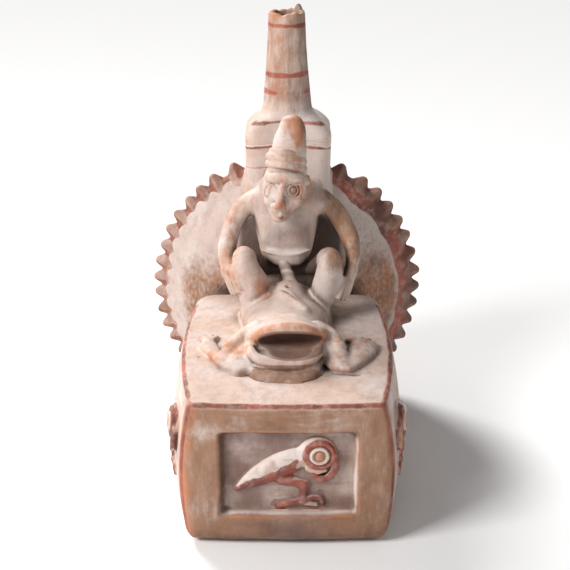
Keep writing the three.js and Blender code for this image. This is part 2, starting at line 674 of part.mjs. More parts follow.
function buildToad(add) {
  const hump = 19; // height of the back where the vent opens
  const vent = limb(path([0.5, -37, hump + 7], [0.5, -37, hump - TOAD.ventDepth]),
    [TOAD.ventRadius, TOAD.ventRadius], { up: new THREE.Vector3(0, 1, 0), steps: 1 });
  const shell = shellForm(SEAM);
  add('toad_body', CLAY.cream, toadBody().subtract(mouthHollow()).subtract(vent).subtract(shell));
  add('toad_lower_jaw', CLAY.pink, toadJaw().subtract(toadBody(SEAM)));
  const rest = joined([toadBody(SEAM), toadJaw(SEAM), shell]);
  for (const [name, build] of Object.entries(toadLimbs)) {
    add(name, CLAY.orange, build(0).subtract(rest));
  }
}

// Seated figure, leaning back on the tower with its feet on the toad's flanks
// Each level is [z, x, half width, front y, back y]; torso backs end on the tower or the shell

const FIGURE = {
  torso: [
    [25, -0.6, 11.4, -16, 9], [29.4, -0.4, 13.4, -17.4, 9], [38.4, -0.6, 15.8, -16.6, 11],
    [48.4, -0.4, 18.2, -14.7, 13], [55.4, 0.4, 20.3, -12.2, 15], [59.4, 0.8, 17.5, -10.5, 15],
    [63, 0.6, 9, -9.5, 12],
  ],
  hem: [
    [22.4, 0.8, 5.4, -15.6, 4], [24.6, 0.2, 8.4, -18, 5], [28.4, -1.2, 12.6, -19.2, 6],
    [31.6, -1.6, 13.8, -19, 6],
  ],
  head: [
    [52.8, -4, 3.6, -26.8, -15], [55.6, -3.4, 6.6, -28, -10], [60, -2, 9.3, -28.6, -7],
    [65, -1.2, 10.9, -28.4, -5], [70, -1.1, 11.3, -28, -5], [76.4, -0.2, 10, -26, -7],
  ],
  crown: { x: -0.3, y: -16.5, radius: 7.2, top: 81 }, // peg of the head that the headband sits round
  band: { ridge: 10.9, groove: 10, low: 73.4, high: 84.6, tilt: 9.5, lean: 16 },
  cap: [
    [81, 0.8, 9, -25.4, -6.6], [84.5, 1, 9, -25.2, -6.4], [88, 1.2, 8.9, -24.6, -6.2],
    [93.2, 1.6, 8.2, -22.4, -5.8], [97.9, 2.4, 6.8, -19.4, -6], [100.8, 2.5, 5.6, -17.2, -6.8],
    [102.6, 2.3, 4.3, -15.6, -8], [103.9, 2.3, 1.9, -13.8, -10],
  ],
};

const ARMS = {
  left: {
    path: [
      [-15, -4, 56.5], [-22.5, -4, 52.5], [-28.4, -8, 45.5], [-31.2, -14, 37.5], [-32, -21, 31],
      [-30.4, -27, 25.5],
    ],
    radii: [5.4, 5.4, 4.8, 4.9, 4.7, 4.2],
    hand: [[-30.6, -27, 25.5], [-29, -30.5, 21.6], [-27.2, -32.5, 18.4]],
    fingers: [[-29.6, -33, 14.6], [-27.6, -35.4, 13], [-25.6, -37, 12.8], [-23.4, -38.4, 14.4]],
  },
  right: {
    path: [
      [18, -4, 56.5], [25.6, -5, 50.5], [31.2, -9, 42.5], [34.2, -14.5, 36], [34.8, -20, 30.5],
      [33.6, -26, 24.6],
    ],
    radii: [5.4, 5.3, 5, 4.7, 3.8, 3],
    hand: [[33.6, -26, 24.6], [32, -29.5, 20.6], [30.6, -31.6, 17]],
    fingers: [[32.6, -31.6, 13.6], [31, -34, 12], [29.2, -35.8, 11.8], [27.4, -37.2, 13.4]],
  },
};

const LEGS = {
  left: {
    path: [
      [-6, -4, 22.5], [-13, -15, 27.5], [-22.4, -27.5, 33.2], [-20.6, -33, 27], [-18, -33, 20],
      [-16.6, -31.5, 14],
    ],
    radii: [6, 6, 5.7, 7, 8.3, 8.5],
  },
  right: {
    path: [
      [7, -4, 22.5], [14, -15, 27.5], [22, -27.5, 32.8], [22.1, -33, 26], [19.6, -33, 16],
      [18.8, -31.5, 7],
    ],
    radii: [6, 6, 6.4, 7, 7.4, 5.2],
  },
};

const behindFigure = (grow) => towerForm(discZ, shoulderZ, grow).add(shellForm(grow));
const torso = (grow = 0) => upright(FIGURE.torso, { grow });
const hem = (grow = 0) => upright(FIGURE.hem, { grow });

function head(grow = 0) {
  const skull = upright(FIGURE.head, { grow, power: 0.9, sides: 14 });
  const { x, y, radius, top } = FIGURE.crown;
  const pegLevels = [top - 11, top].map((z) => [z, x, radius, y - radius, y + radius]);
  const peg = upright(pegLevels, { grow, power: 1, sides: 12 });
  const bridge = path([-1.6, -27, 71], [-2.6, -29.6, 66], [-3.2, -30.2, 61.4]);
  const nose = limb(bridge, [1, 1.4, 2.2], { steps: 2, sides: 6, grow });
  const lobe = new THREE.Vector3(1.8, 3, 4.4).addScalar(grow);
  const ears = [-11.2, 10].map((at) => ellipsoid(onDeck(at, -15, 67), lobe));
  return joined([skull, peg, nose, ...ears]);
}

// Eye hollows with a raised pupil, and the line of the mouth
function carvedHead() {
  const eyes = [[-7.6, -27.6], [3.4, -27.4]];
  const level = 68.6;
  const hollows = eyes.map(([x, y]) => ellipsoid(onDeck(x, y, level), new THREE.Vector3(3.6, 2, 3.8)));
  const pupils = eyes.map(([x, y]) => ellipsoid(onDeck(x, y + 1.6, level), new THREE.Vector3(1.7, 1.7, 1.8)));
  const lips = path([-6.6, -28.4, 57.4], [-3.4, -29.4, 56.4], [-0.4, -28.2, 57.6]);
  const mouth = limb(lips, [0.7, 0.9, 0.7], { steps: 2, sides: 5 });
  return joined([head().subtract(joined([...hollows, mouth])), ...pupils]);
}

// Three rolled ridges, tipped down to the right and up at the front
function headband(grow = 0) {
  const { ridge, groove, low, high, tilt, lean } = FIGURE.band;
  const inner = FIGURE.crown.radius + SEAM;
  const rolls = 3;
  const pitch = (high - low) / rolls;
  const profile = [[inner - grow, low - grow]];
  for (let i = 0; i < rolls; i++) {
    const z = low + pitch * i;
    profile.push([groove + grow, z - (i ? 0 : grow)], [ridge + grow, z + pitch / 2]);
  }
  profile.push([groove + grow, high + grow], [inner - grow, high + grow]);
  const points = [...profile, profile[0]].map(([r, z]) => new THREE.Vector2(r, z - (low + high) / 2));
  const ring = new THREE.LatheGeometry(points, 16).rotateX(Math.PI / 2);
  ring.rotateY(THREE.MathUtils.degToRad(tilt)).rotateX(-THREE.MathUtils.degToRad(lean));
  const { x, y } = FIGURE.crown;
  const centre = onDeck(x, y, (low + high) / 2);
  return fromGeometry(ring.translate(centre.x, centre.y, centre.z));
}

function arm({ path: line, radii, hand, fingers }, grow = 0) {
  const up = new THREE.Vector3(0, -1, 0);
  const sleeve = limb(path(...line), radii, { up, grow, steps: 7 });
  const palm = limb(path(...hand), [4, 4, 3.2], { up, flat: 0.7, grow, steps: 2 });
  const digits = fingers.map((tip) =>
    limb(path(hand[1], hand[2], tip), [1.4, 1.6, 1.1], { up, grow, sides: 5, steps: 2 }));
  return joined([sleeve, palm, ...digits]);
}

function leg({ path: line, radii }, grow = 0) {
  return limb(path(...line), radii, { up: new THREE.Vector3(1, 0, 0.2), grow, steps: 9, sides: 10 });
}

function buildFigure(add) {
  const wall = behindFigure(SEAM);
  const seated = joined([wall, torso(SEAM), hem(SEAM)]);
  const toad = joined([toadBody(SEAM), ...Object.values(toadLimbs).map((build) => build(SEAM))]);
  const deck = block(-FAR, FAR, -FAR, FAR, -FAR, PLINTH.height + SEAM);
  add('figure_torso', CLAY.pink, torso().subtract(wall));
  add('figure_hem', CLAY.cream, hem().subtract(wall).subtract(torso(SEAM)));
  add('figure_head', CLAY.cream, carvedHead().subtract(wall).subtract(torso(SEAM)));
  add('figure_headband', CLAY.cream, headband().subtract(head(SEAM)));
  const cap = upright(FIGURE.cap, { power: 1, sides: 14 });
  add('figure_cap', CLAY.orange, cap.subtract(headband(SEAM)).subtract(head(SEAM)));
  for (const side of ['left', 'right']) {
    const below = leg(LEGS[side], SEAM);
    add(`figure_${side}_arm`, CLAY.orange, arm(ARMS[side]).subtract(seated).subtract(below));
    add(`figure_${side}_leg`, CLAY.cream, leg(LEGS[side]).subtract(seated).subtract(toad).subtract(deck));
  }
  const postLine = path([-2.2, -15.6, 26], [0.2, -21, 20.6], [3, -28, 15]);
  const post = limb(postLine, [3.2, 3.3, 3.2], { steps: 3, sides: 10 });
  add('clay_post', CLAY.cream, post.subtract(seated).subtract(toad));
}

// Assembly

const vessel = new THREE.Group();

function add(name, material, piece) {
  const { vertProperties, triVerts } = piece.getMesh();
  const geometry = new THREE.BufferGeometry();
  geometry.setAttribute('position', new THREE.BufferAttribute(new Float32Array(vertProperties), 3));
  geometry.setIndex(new THREE.BufferAttribute(new Uint32Array(triVerts), 1));
  geometry.computeVertexNormals();
  const mesh = new THREE.Mesh(geometry, material.clone());
  mesh.name = name;
  vessel.add(mesh);
}

buildPlinth(add);
buildFrontBird(add);
buildSideBirds(add);
buildShell(add);
buildSpikes(add);
buildTower(add);
buildSpout(add);
buildToad(add);
buildFigure(add);

// The origin is on the ground under the middle of the whole bottle
const bottle = new THREE.Group();
vessel.position.y = -(plinthFront + SHELL.depth) / 2;
bottle.add(vessel);

export default bottle;
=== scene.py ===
import math
from itertools import product

import bpy
import numpy as np
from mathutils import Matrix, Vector


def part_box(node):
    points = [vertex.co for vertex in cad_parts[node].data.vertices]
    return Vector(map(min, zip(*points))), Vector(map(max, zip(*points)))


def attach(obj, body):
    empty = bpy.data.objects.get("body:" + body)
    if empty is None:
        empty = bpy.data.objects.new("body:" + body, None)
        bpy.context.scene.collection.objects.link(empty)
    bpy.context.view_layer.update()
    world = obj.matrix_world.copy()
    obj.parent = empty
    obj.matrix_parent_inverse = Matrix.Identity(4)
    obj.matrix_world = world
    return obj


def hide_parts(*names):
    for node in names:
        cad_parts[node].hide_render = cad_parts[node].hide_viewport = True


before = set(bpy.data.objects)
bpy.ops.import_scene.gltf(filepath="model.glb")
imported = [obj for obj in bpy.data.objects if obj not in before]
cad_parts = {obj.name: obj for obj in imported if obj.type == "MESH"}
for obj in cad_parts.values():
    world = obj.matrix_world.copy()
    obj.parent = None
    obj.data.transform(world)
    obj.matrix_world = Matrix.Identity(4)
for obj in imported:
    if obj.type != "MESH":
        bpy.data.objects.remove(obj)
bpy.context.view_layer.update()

# Places taken from the frame, in millimetres. The modelling frame has y = 0 in the shell's middle plane
MM = 1000.0


def node_box(name):
    low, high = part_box(name)
    return np.array(low) * MM, np.array(high) * MM


rim_low, rim_high = node_box("shell_rim_band")
MIDDLE_Y = (rim_low[1] + rim_high[1]) / 2
deck_low, deck_high = node_box("plinth_deck")
DECK = deck_high[2]
REAR = deck_high[1] - MIDDLE_Y
FRONT = deck_low[1] - MIDDLE_Y
RIM_RADIUS = rim_high[0]
spout_low, spout_high = node_box("spout")
tower_low, tower_high = node_box("tower_wall")
shoulder_high = node_box("tower_shoulder")[1]

# Driving sizes that the frame doesn't give, in millimetres
FRONT_HALF, SIDE_HALF, REAR_HALF = 45.2, 52.2, 49.6  # half widths of the deck
SWELL = {"most": 5.6, "height": 34.0}  # the walls bulge past the deck's outline
BOW = 1.5
CORNER_FRONT, CORNER_REAR = 4.5, 14.0
FRAME_MARGIN = {"side": 17.4, "below": 17.1, "above": 14.6, "shift": 0.7}
FRAME_DEPTH, FRAME_BEVEL = 4.2, 3.6
STRETCH, DOME, DOME_EDGE, DOME_DEPTH, DOME_POWER = 1.04, 71.2, 5.2, 33.0, 2.2
DISC_Z = rim_high[2] - RIM_RADIUS * STRETCH + 2  # the disc stands 2 mm over the frame's
SPIKES = {"count": 15, "length": 5.9, "depth": 5.2}
SPIKE_ROWS = {-1: (23.3, 10.1, 7.47), 1: (24.0, 10.8, 7.95)}  # first angle, first gap, pitch
RIM_EDGE, RIM_FOOT = 4.6, 60  # half the band's thickness, and the radius where it starts
TOWER_SHIFT, TOWER_BORE, TOWER_INSET = 0.7, 9, 10.5
SPOUT_RADII = [(0, 14.4), (0.1, 13.2), (0.34, 11.9), (0.65, 10.6), (1, 9.7)]  # by share of its height
SPOUT_WALL = 3.0
SPOUT_TOP = spout_high[2] - 3.5  # under the rim's jag
COLLAR_WALL = 5
SPIKE_REACH = 7  # room for a spike past the rim's radius

rng = np.random.default_rng(11)
LATTICE = rng.uniform(-1, 1, (32, 32, 32)).astype(np.float32)


def unit(value):
    """value, held between 0 and 1."""
    return np.clip(value, 0, 1)


# Fields: each takes places x, y, z and gives the distance to a form's surface, negative inside

def smooth_min(a, b, k):
    h = np.maximum(k - np.abs(a - b), 0) / k
    return np.minimum(a, b) - h * h * k / 4


def smooth_max(a, b, k):
    return -smooth_min(-a, -b, k)


def corner_sum(parts, value):
    """The values at a cell's corners, blended by the place in the cell."""
    total = 0
    for corner in product((0, 1), repeat=len(parts)):
        weight = 1
        for n, part in zip(corner, parts):
            weight = weight * (part if n else 1 - part)
        total = total + weight * value(*corner)
    return total


def waves(x, y, z, size, shift=0):
    """Smooth random waviness between -1 and 1, with bumps about size millimetres across."""
    cells, parts = [], []
    for at, offset in ((x, 3.7), (y, 8.1), (z, 5.3)):
        at = np.asarray(at, np.float32) / size + offset + shift * 7.31
        cell = np.floor(at).astype(int)
        part = at - cell
        cells.append(cell)
        parts.append(part * part * (3 - 2 * part))
    a, b, c = cells
    return corner_sum(parts, lambda i, j, k: LATTICE[(a + i) % 32, (b + j) % 32, (c + k) % 32])


class Form:
    """A form in clay: the box that holds it, and its distance field."""

    def __init__(self, low, high, field):
        self.low, self.high, self.field = np.asarray(low, float), np.asarray(high, float), field

    def join(self, other, k=2.0):
        return Form(np.minimum(self.low, other.low), np.maximum(self.high, other.high),
                    lambda x, y, z: smooth_min(self.field(x, y, z), other.field(x, y, z), k))

    def cut(self, other, k=1.0):
        return Form(self.low, self.high,
                    lambda x, y, z: smooth_max(self.field(x, y, z), -other.field(x, y, z), k))


def joined(forms, k=2.0):
    whole = forms[0]
    for form in forms[1:]:
        whole = whole.join(form, k)
    return whole


def ball(centre, radii):
    """An ellipsoid."""
    radii = np.broadcast_to(np.asarray(radii, float), 3)

    def field(x, y, z):
        d = (x - centre[0], y - centre[1], z - centre[2])
        near = np.sqrt(sum((d[i] / radii[i]) ** 2 for i in range(3)))
        far = np.sqrt(sum((d[i] / radii[i] ** 2) ** 2 for i in range(3)))
        return near * (near - 1) / np.maximum(far, 1e-6)

    reach = radii.max()
    return Form(np.subtract(centre, reach), np.add(centre, reach), field)


def curve(points, pieces=6):
    """Points along a smooth curve through the given ones."""
    p = [np.asarray(q, float) for q in points]
    p = [2 * p[0] - p[1], *p, 2 * p[-1] - p[-2]]
    out = []
    for a, b, c, d in zip(p, p[1:], p[2:], p[3:]):
        for i in range(pieces):
            t = i / pieces
            out.append(0.5 * (2 * b + (c - a) * t + (2 * a - 5 * b + 4 * c - d) * t * t
                              + (3 * b - a - 3 * c + d) * t ** 3))
    return [*out, p[-2]]


def roll(points, radii, flat=None, pieces=5):
    """A roll of clay along a smooth curve. flat is (axis, share): it is thinner along that axis."""
    line = curve([np.append(q, r) for q, r in zip(points, radii)], pieces)
    scale = np.ones(3)
    if flat:
        scale["xyz".index(flat[0])] = 1 / flat[1]
    places, sizes = np.array([q[:3] for q in line]), np.array([q[3] for q in line])

    def field(x, y, z):
        best = None
        for a, b, ra, rb in zip(places, places[1:], sizes, sizes[1:]):
            ab = (b - a) * scale
            p = ((x - a[0]) * scale[0], (y - a[1]) * scale[1], (z - a[2]) * scale[2])
            t = unit((p[0] * ab[0] + p[1] * ab[1] + p[2] * ab[2]) / max(ab @ ab, 1e-9))
            d = np.sqrt(sum((p[i] - t * ab[i]) ** 2 for i in range(3))) - (ra + (rb - ra) * t)
            best = d if best is None else np.minimum(best, d)
        return best / scale.max()

    reach = sizes.max()
    return Form(places.min(0) - reach, places.max(0) + reach, field)


def oval(u, v, half, deep, power):
    """About the distance to a superellipse. u and v are the place's shares of its half sizes."""
    q = (u ** power + v ** power) ** (1 / power)
    slope = np.sqrt((u / half) ** 2 + (v / deep) ** 2) / np.maximum(np.sqrt(u * u + v * v), 1e-6)
    return (q - 1) / np.maximum(slope, 1e-6)


def column(levels, power=2.6, k=2.5):
    """An upright form from levels [z, x, half width, front y, back y], with rounded ends."""
    table = np.array(sorted(levels), float)
    middle = np.column_stack([table[:, 0], table[:, 1], table[:, 2], (table[:, 3] + table[:, 4]) / 2,
                              (table[:, 4] - table[:, 3]) / 2])
    fine = np.array(curve(middle, 8))

    def field(x, y, z):
        cx, half, cy, deep = (np.interp(z, fine[:, 0], fine[:, i]) for i in (1, 2, 3, 4))
        side = oval(np.abs(x - cx) / half, np.abs(y - cy) / deep, half, deep, power)
        return smooth_max(side, np.maximum(z - table[-1, 0], table[0, 0] - z), k)

    low = [(table[:, 1] - table[:, 2]).min(), table[:, 3].min(), table[0, 0]]
    high = [(table[:, 1] + table[:, 2]).max(), table[:, 4].max(), table[-1, 0]]
    return Form(low, high, field)


def lying(stations, power=2.4, k=2.5):
    """A form lying along y on the deck, from stations [y, half width, height, x]."""
    table = np.array(sorted([*s, 0][:4] for s in stations), float)
    fine = np.array(curve(table, 8))

    def field(x, y, z):
        half, height, cx = (np.interp(y, fine[:, 0], fine[:, i]) for i in (1, 2, 3))
        side = oval(np.abs(x - cx) / half, np.maximum(z - DECK, 0) / height, half, height, power)
        return smooth_max(side, np.maximum(y - table[-1, 0], table[0, 0] - y), k)

    low = [(table[:, 3] - table[:, 1]).min(), table[0, 0], DECK - 2]
    high = [(table[:, 3] + table[:, 1]).max(), table[-1, 0], DECK + table[:, 2].max()]
    return Form(low, high, field)


def rooted(own, base, fillet=2.5, sunk=0.15):
    """own, spreading on to base with a soft fillet. Round it, base lies sunk just under its own surface."""
    def field(x, y, z):
        mine = own.field(x, y, z)
        whole = smooth_min(mine, base(x, y, z) + sunk, fillet)
        return np.maximum(whole, mine - fillet - 0.8)

    return Form(own.low - fillet - 0.8, own.high + fillet + 0.8, field)


# Meshes from fields

def sample(values, low, step, points):
    """Values of a lattice at places between its points."""
    at = np.clip((points - low) / step, 0, np.array(values.shape) - 1.001)
    cell = at.astype(int)
    a, b, c = cell.T
    return corner_sum((at - cell).T, lambda i, j, k: values[a + i, b + j, c + k])


def net(values):
    """The surface where a lattice's values pass through zero: vertices in lattice steps, and quads."""
    inside = values < 0
    shape = np.array(values.shape)
    owners, places, quads = [], [], []
    for axis in range(3):
        first = tuple(slice(0, -1) if i == axis else slice(None) for i in range(3))
        second = tuple(slice(1, None) if i == axis else slice(None) for i in range(3))
        edge = np.argwhere(inside[first] != inside[second])
        a = values[first][tuple(edge.T)]
        b = values[second][tuple(edge.T)]
        place = edge.astype(float)
        place[:, axis] += a / (a - b)
        u, w = (axis + 1) % 3, (axis + 2) % 3
        around = []
        for du, dw in ((0, 0), (1, 0), (1, 1), (0, 1)):
            cell = edge.copy()
            cell[:, u] -= du
            cell[:, w] -= dw
            around.append(np.ravel_multi_index(tuple(cell.T), shape))
            owners.append(around[-1])
            places.append(place)
        quad = np.column_stack(around)
        quads.append(np.where((a < 0)[:, None], quad, quad[:, ::-1]))
    owners, places = np.concatenate(owners), np.concatenate(places)
    cells, index = np.unique(owners, return_inverse=True)
    count = np.bincount(index)
    points = np.column_stack([np.bincount(index, weights=places[:, i]) / count for i in range(3)])
    return points, np.searchsorted(cells, np.concatenate(quads))


def model(form, step, rough, rough_size, shift):
    """Points in millimetres, quads, and how hollow or raised the surface is at each point.

    The surface swells and sinks by rough, over lengths of about rough_size.
    """
    low = form.low - 2 * step
    count = np.ceil((form.high - form.low) / step).astype(int) + 5
    x, y, z = np.meshgrid(*(low[i] + step * np.arange(count[i]) for i in range(3)),
                          indexing="ij", sparse=True)
    values = np.array(np.broadcast_to(form.field(x, y, z), tuple(count)), np.float32)
    for axis in range(3):
        rolled = np.moveaxis(values, axis, 0)
        rolled[[0, -1]] = np.maximum(rolled[[0, -1]], step)
    points, quads = net(values)
    points = low + step * points
    slopes = np.gradient(values, step)
    for _ in range(2):
        normal = np.column_stack([sample(s, low, step, points) for s in slopes])
        length = np.maximum(np.linalg.norm(normal, axis=1), 0.2)[:, None]
        points = points - normal / length * (sample(values, low, step, points)[:, None] / length)
    bend = sum(np.gradient(s, step, axis=i) for i, s in enumerate(slopes))
    raised = np.clip(sample(bend, low, step, points), -1.5, 1.5)
    swell = waves(*points.T, rough_size, shift) + 0.5 * waves(*points.T, rough_size / 2.3, shift + 1)
    return points + normal / length * (rough * swell)[:, None], quads, raised


def make_piece(name, nodes, points, quads, masks, material):
    """A Blender object from points in millimetres, with its masks as attributes."""
    mesh = bpy.data.meshes.new(name)
    place = (points + np.array([0, MIDDLE_Y, 0])) / MM
    mesh.vertices.add(len(points))
    mesh.vertices.foreach_set("co", place.astype(np.float32).ravel())
    mesh.loops.add(quads.size)
    mesh.loops.foreach_set("vertex_index", quads.astype(np.int32).ravel())
    mesh.polygons.add(len(quads))
    mesh.polygons.foreach_set("loop_start", np.arange(0, quads.size, 4, dtype=np.int32))
    mesh.update(calc_edges=True)
    mesh.polygons.foreach_set("use_smooth", np.ones(len(quads), bool))
    for key, values in masks.items():
        mesh.attributes.new(key, "FLOAT", "POINT").data.foreach_set("value", values.astype(np.float32))
    piece = bpy.data.objects.new(name, mesh)
    bpy.context.scene.collection.objects.link(piece)
    piece.data.materials.append(material)
    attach(piece, "root")
    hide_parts(*nodes)


# Base forms

def swell_at(z):
    return SWELL["most"] * (1 - ((z - SWELL["height"]) / (DECK - SWELL["height"])) ** 2)


def bezier(a, b, c, steps):
    t = np.linspace(0, 1, steps + 1)[:, None]
    return (1 - t) ** 2 * np.array(a) + 2 * t * (1 - t) * np.array(b) + t * t * np.array(c)


def plan_outline():
    """Half of the plinth's plan, from the middle of the front to the middle of the rear."""
    front = FRONT + BOW
    start, end = front + CORNER_FRONT, REAR - CORNER_REAR
    control = 2 * SIDE_HALF - (FRONT_HALF + REAR_HALF) / 2
    return np.vstack([
        bezier((0, FRONT), (FRONT_HALF / 2, FRONT), (FRONT_HALF - CORNER_FRONT, front), 8),
        bezier((FRONT_HALF - CORNER_FRONT, front), (FRONT_HALF, front), (FRONT_HALF, start), 8),
        bezier((FRONT_HALF, start), (control, (start + end) / 2), (REAR_HALF, end), 16),
        bezier((REAR_HALF, end), (REAR_HALF, REAR), (REAR_HALF - CORNER_REAR, REAR), 10),
        [(0, REAR)],
    ])


def plan_table():
    """Signed distance to the plan on a lattice of 1 mm, for x from -10 on."""
    half = plan_outline()
    line = np.vstack([half, half[::-1] * [-1, 1]])
    x, y = np.meshgrid(np.arange(-10, 71.0), np.arange(FRONT - 12, REAR + 12), indexing="ij")
    best, inside = np.full(x.shape, 1e9), np.zeros(x.shape, bool)
    for a, b in zip(line, np.roll(line, -1, axis=0)):
        ab = b - a
        if ab @ ab < 1e-9:
            continue
        t = unit(((x - a[0]) * ab[0] + (y - a[1]) * ab[1]) / (ab @ ab))
        best = np.minimum(best, np.hypot(x - a[0] - t * ab[0], y - a[1] - t * ab[1]))
        if a[1] != b[1]:
            crosses = (a[1] > y) != (b[1] > y)
            inside ^= crosses & (x < a[0] + (y - a[1]) / (b[1] - a[1]) * ab[0])
    return np.where(inside, -best, best)


PLAN = plan_table()


def plan_distance(x, y, z):
    """Distance from the plinth's side wall, level with the place."""
    across = np.clip(np.abs(x) - swell_at(z) + 10, 0, PLAN.shape[0] - 1.01)
    along = np.clip(y - (FRONT - 12), 0, PLAN.shape[1] - 1.01)
    across, along = np.broadcast_arrays(across, along)
    i, j = across.astype(int), along.astype(int)
    return corner_sum((across - i, along - j), lambda a, b: PLAN[i + a, j + b])


def frame_rectangle(x, z):
    """Distance from the edge of the sunken frame's floor, on the front face."""
    half = FRONT_HALF + SWELL["most"] - FRAME_MARGIN["side"] - FRAME_BEVEL
    low, high = FRAME_MARGIN["below"] + FRAME_BEVEL * 0.75, DECK - FRAME_MARGIN["above"] - FRAME_BEVEL * 0.75
    dx = np.abs(x - FRAME_MARGIN["shift"]) - half
    dz = np.abs(z - (low + high) / 2) - (high - low) / 2
    wobble = 0.45 * waves(x, 0, z, 11, 3)
    return smooth_max(dx, dz, 2.5) + wobble


def face_depth(x, z):
    """How far the front face is sunk."""
    share = unit(1 - frame_rectangle(x, z) / FRAME_BEVEL)
    return FRAME_DEPTH * share * share * (3 - 2 * share)


def front_wall(x, y, z):
    return FRONT + BOW * unit(np.abs(x) / FRONT_HALF) ** 2 + face_depth(x, z) - y


def plinth_field(x, y, z):
    side = plan_distance(x, y, z)
    body = np.maximum(side, front_wall(x, y, z) * 0.8)
    body = smooth_max(body, z - DECK, 2.2)
    return smooth_max(body, -z, 9)


def dome_y(r):
    return DOME_EDGE + (DOME_DEPTH - DOME_EDGE) * (1 - np.clip(r / DOME, 0, 1.05) ** DOME_POWER)


def shell_radius(x, z):
    return np.sqrt(x * x + ((z - DISC_Z) / STRETCH) ** 2)


def dome_field(x, y, z):
    r = shell_radius(x, z)
    slope = (DOME_DEPTH - DOME_EDGE) * DOME_POWER / DOME * np.clip(r / DOME, 0, 1.05) ** (DOME_POWER - 1)
    height = (np.abs(y) - dome_y(r)) / np.sqrt(1 + slope * slope)
    return smooth_max(height, r - DOME, 1.5)


def rim_field(x, y, z):
    r = shell_radius(x, z)
    return smooth_max(np.abs(y) - np.minimum(RIM_EDGE, dome_y(r) - 0.4), r - RIM_RADIUS - 0.3, 2.5)


def tower_half(z):
    """Half width and half depth of the tower at a height."""
    share = unit((z - tower_low[2]) / (tower_high[2] - tower_low[2]))
    return tower_high[0] - 0.5 + 0.6 * share, tower_high[1] - MIDDLE_Y - 0.6 + 0.5 * share


def tower_field(x, y, z):
    half_x, half_y = tower_half(z)
    low = tower_low[2] + 2
    shoulder = unit((z - tower_high[2] + 1) / (shoulder_high[2] - tower_high[2] + 2.4))
    inset = TOWER_INSET * shoulder ** 1.7
    dx, dy = np.abs(x - TOWER_SHIFT) - half_x + inset, np.abs(y) - half_y + inset * 0.6
    return smooth_max(smooth_max(dx, dy, 8), np.maximum(z - shoulder_high[2] - 1, low - z), 2)


def spout_radius(z):
    share = (z - spout_low[2]) / (SPOUT_TOP - spout_low[2])
    table = np.array(curve([np.array(p, float) for p in SPOUT_RADII], 8))
    return np.interp(share, table[:, 0], table[:, 1])


def around_field(x, y, z):
    """What stands behind the figure: shell and tower."""
    return np.minimum(dome_field(x, y, z), tower_field(x, y, z))


def deck_field(x, y, z):
    return z - DECK


def seat(x, y, z):
    """A place given from the deck's rear edge, as a place in the modelling frame."""
    return np.array([x, REAR + y, DECK + z])


def seats(*places):
    return [seat(*p) for p in places]


def bead(places, radii, flat=None, pieces=5):
    """A roll of clay through places given from the deck's rear edge."""
    return roll(seats(*places), radii, flat, pieces)


def lump(place, radii):
    return ball(seat(*place), radii)


def seat_levels(levels):
    return [[DECK + z, x, half, REAR + front, REAR + back] for z, x, half, front, back in levels]


def seat_stations(stations):
    return [[REAR + s[0], *s[1:]] for s in stations]


# Materials

def new_material(name):
    material = bpy.data.materials.new(name)
    material.use_nodes = True
    material.node_tree.nodes.clear()
    return material


class Nodes:
    """Short ways to add shader nodes."""

    def __init__(self, material):
        self.tree = material.node_tree

    def add(self, kind, inputs=(), **settings):
        node = self.tree.nodes.new("ShaderNode" + kind)
        for key, value in settings.items():
            setattr(node, key, value)
        for key, value in dict(inputs).items():
            if isinstance(value, bpy.types.NodeSocket):
                self.tree.links.new(value, node.inputs[key])
            else:
                node.inputs[key].default_value = value
        return node

    def mask(self, name):
        return self.add("Attribute", attribute_name=name).outputs["Fac"]

    def math(self, operation, a, b):
        return self.add("Math", {0: a, 1: b}, operation=operation).outputs[0]

    def plus(self, a, b):
        return self.math("ADD", a, b)

    def times(self, a, b):
        return self.math("MULTIPLY", a, b)

    def ramp(self, value, low, high, to_low=0.0, to_high=1.0):
        return self.add("MapRange", {"Value": value, "From Min": low, "From Max": high,
                                     "To Min": to_low, "To Max": to_high},
                        interpolation_type="SMOOTHSTEP").outputs[0]

    def mix(self, share, a, b, blend="MIX"):
        node = self.add("Mix", {0: share, 6: a, 7: b}, data_type="RGBA", blend_type=blend)
        return node.outputs[2]

    def noise(self, place, scale, detail=3.0, rough=0.55):
        return self.add("TexNoise", {"Vector": place, "Scale": scale, "Detail": detail,
                                     "Roughness": rough}).outputs["Fac"]

    def stretched(self, place, scale):
        return self.add("Mapping", {"Vector": place, "Scale": scale}).outputs[0]


def rgb(r, g, b):
    """A colour as seen on screen, from 0 to 255, as the shader's linear one."""
    return tuple((c / 255) ** 2.2 for c in (r, g, b)) + (1.0,)


CREAM, WARM = rgb(204, 187, 179), rgb(200, 173, 157)
PINK, BUFF = rgb(188, 160, 150), rgb(156, 118, 94)
ORANGE, BROWN = rgb(190, 130, 98), rgb(88, 64, 50)
RED, DARK_RED = rgb(164, 84, 66), rgb(108, 60, 50)
# The last colour here is the brown of the painted shade in hollows and between parts
WHITE, SOOT_AND_SHADE, SHADE_BROWN = rgb(228, 214, 206), rgb(120, 95, 87), rgb(62, 42, 32)


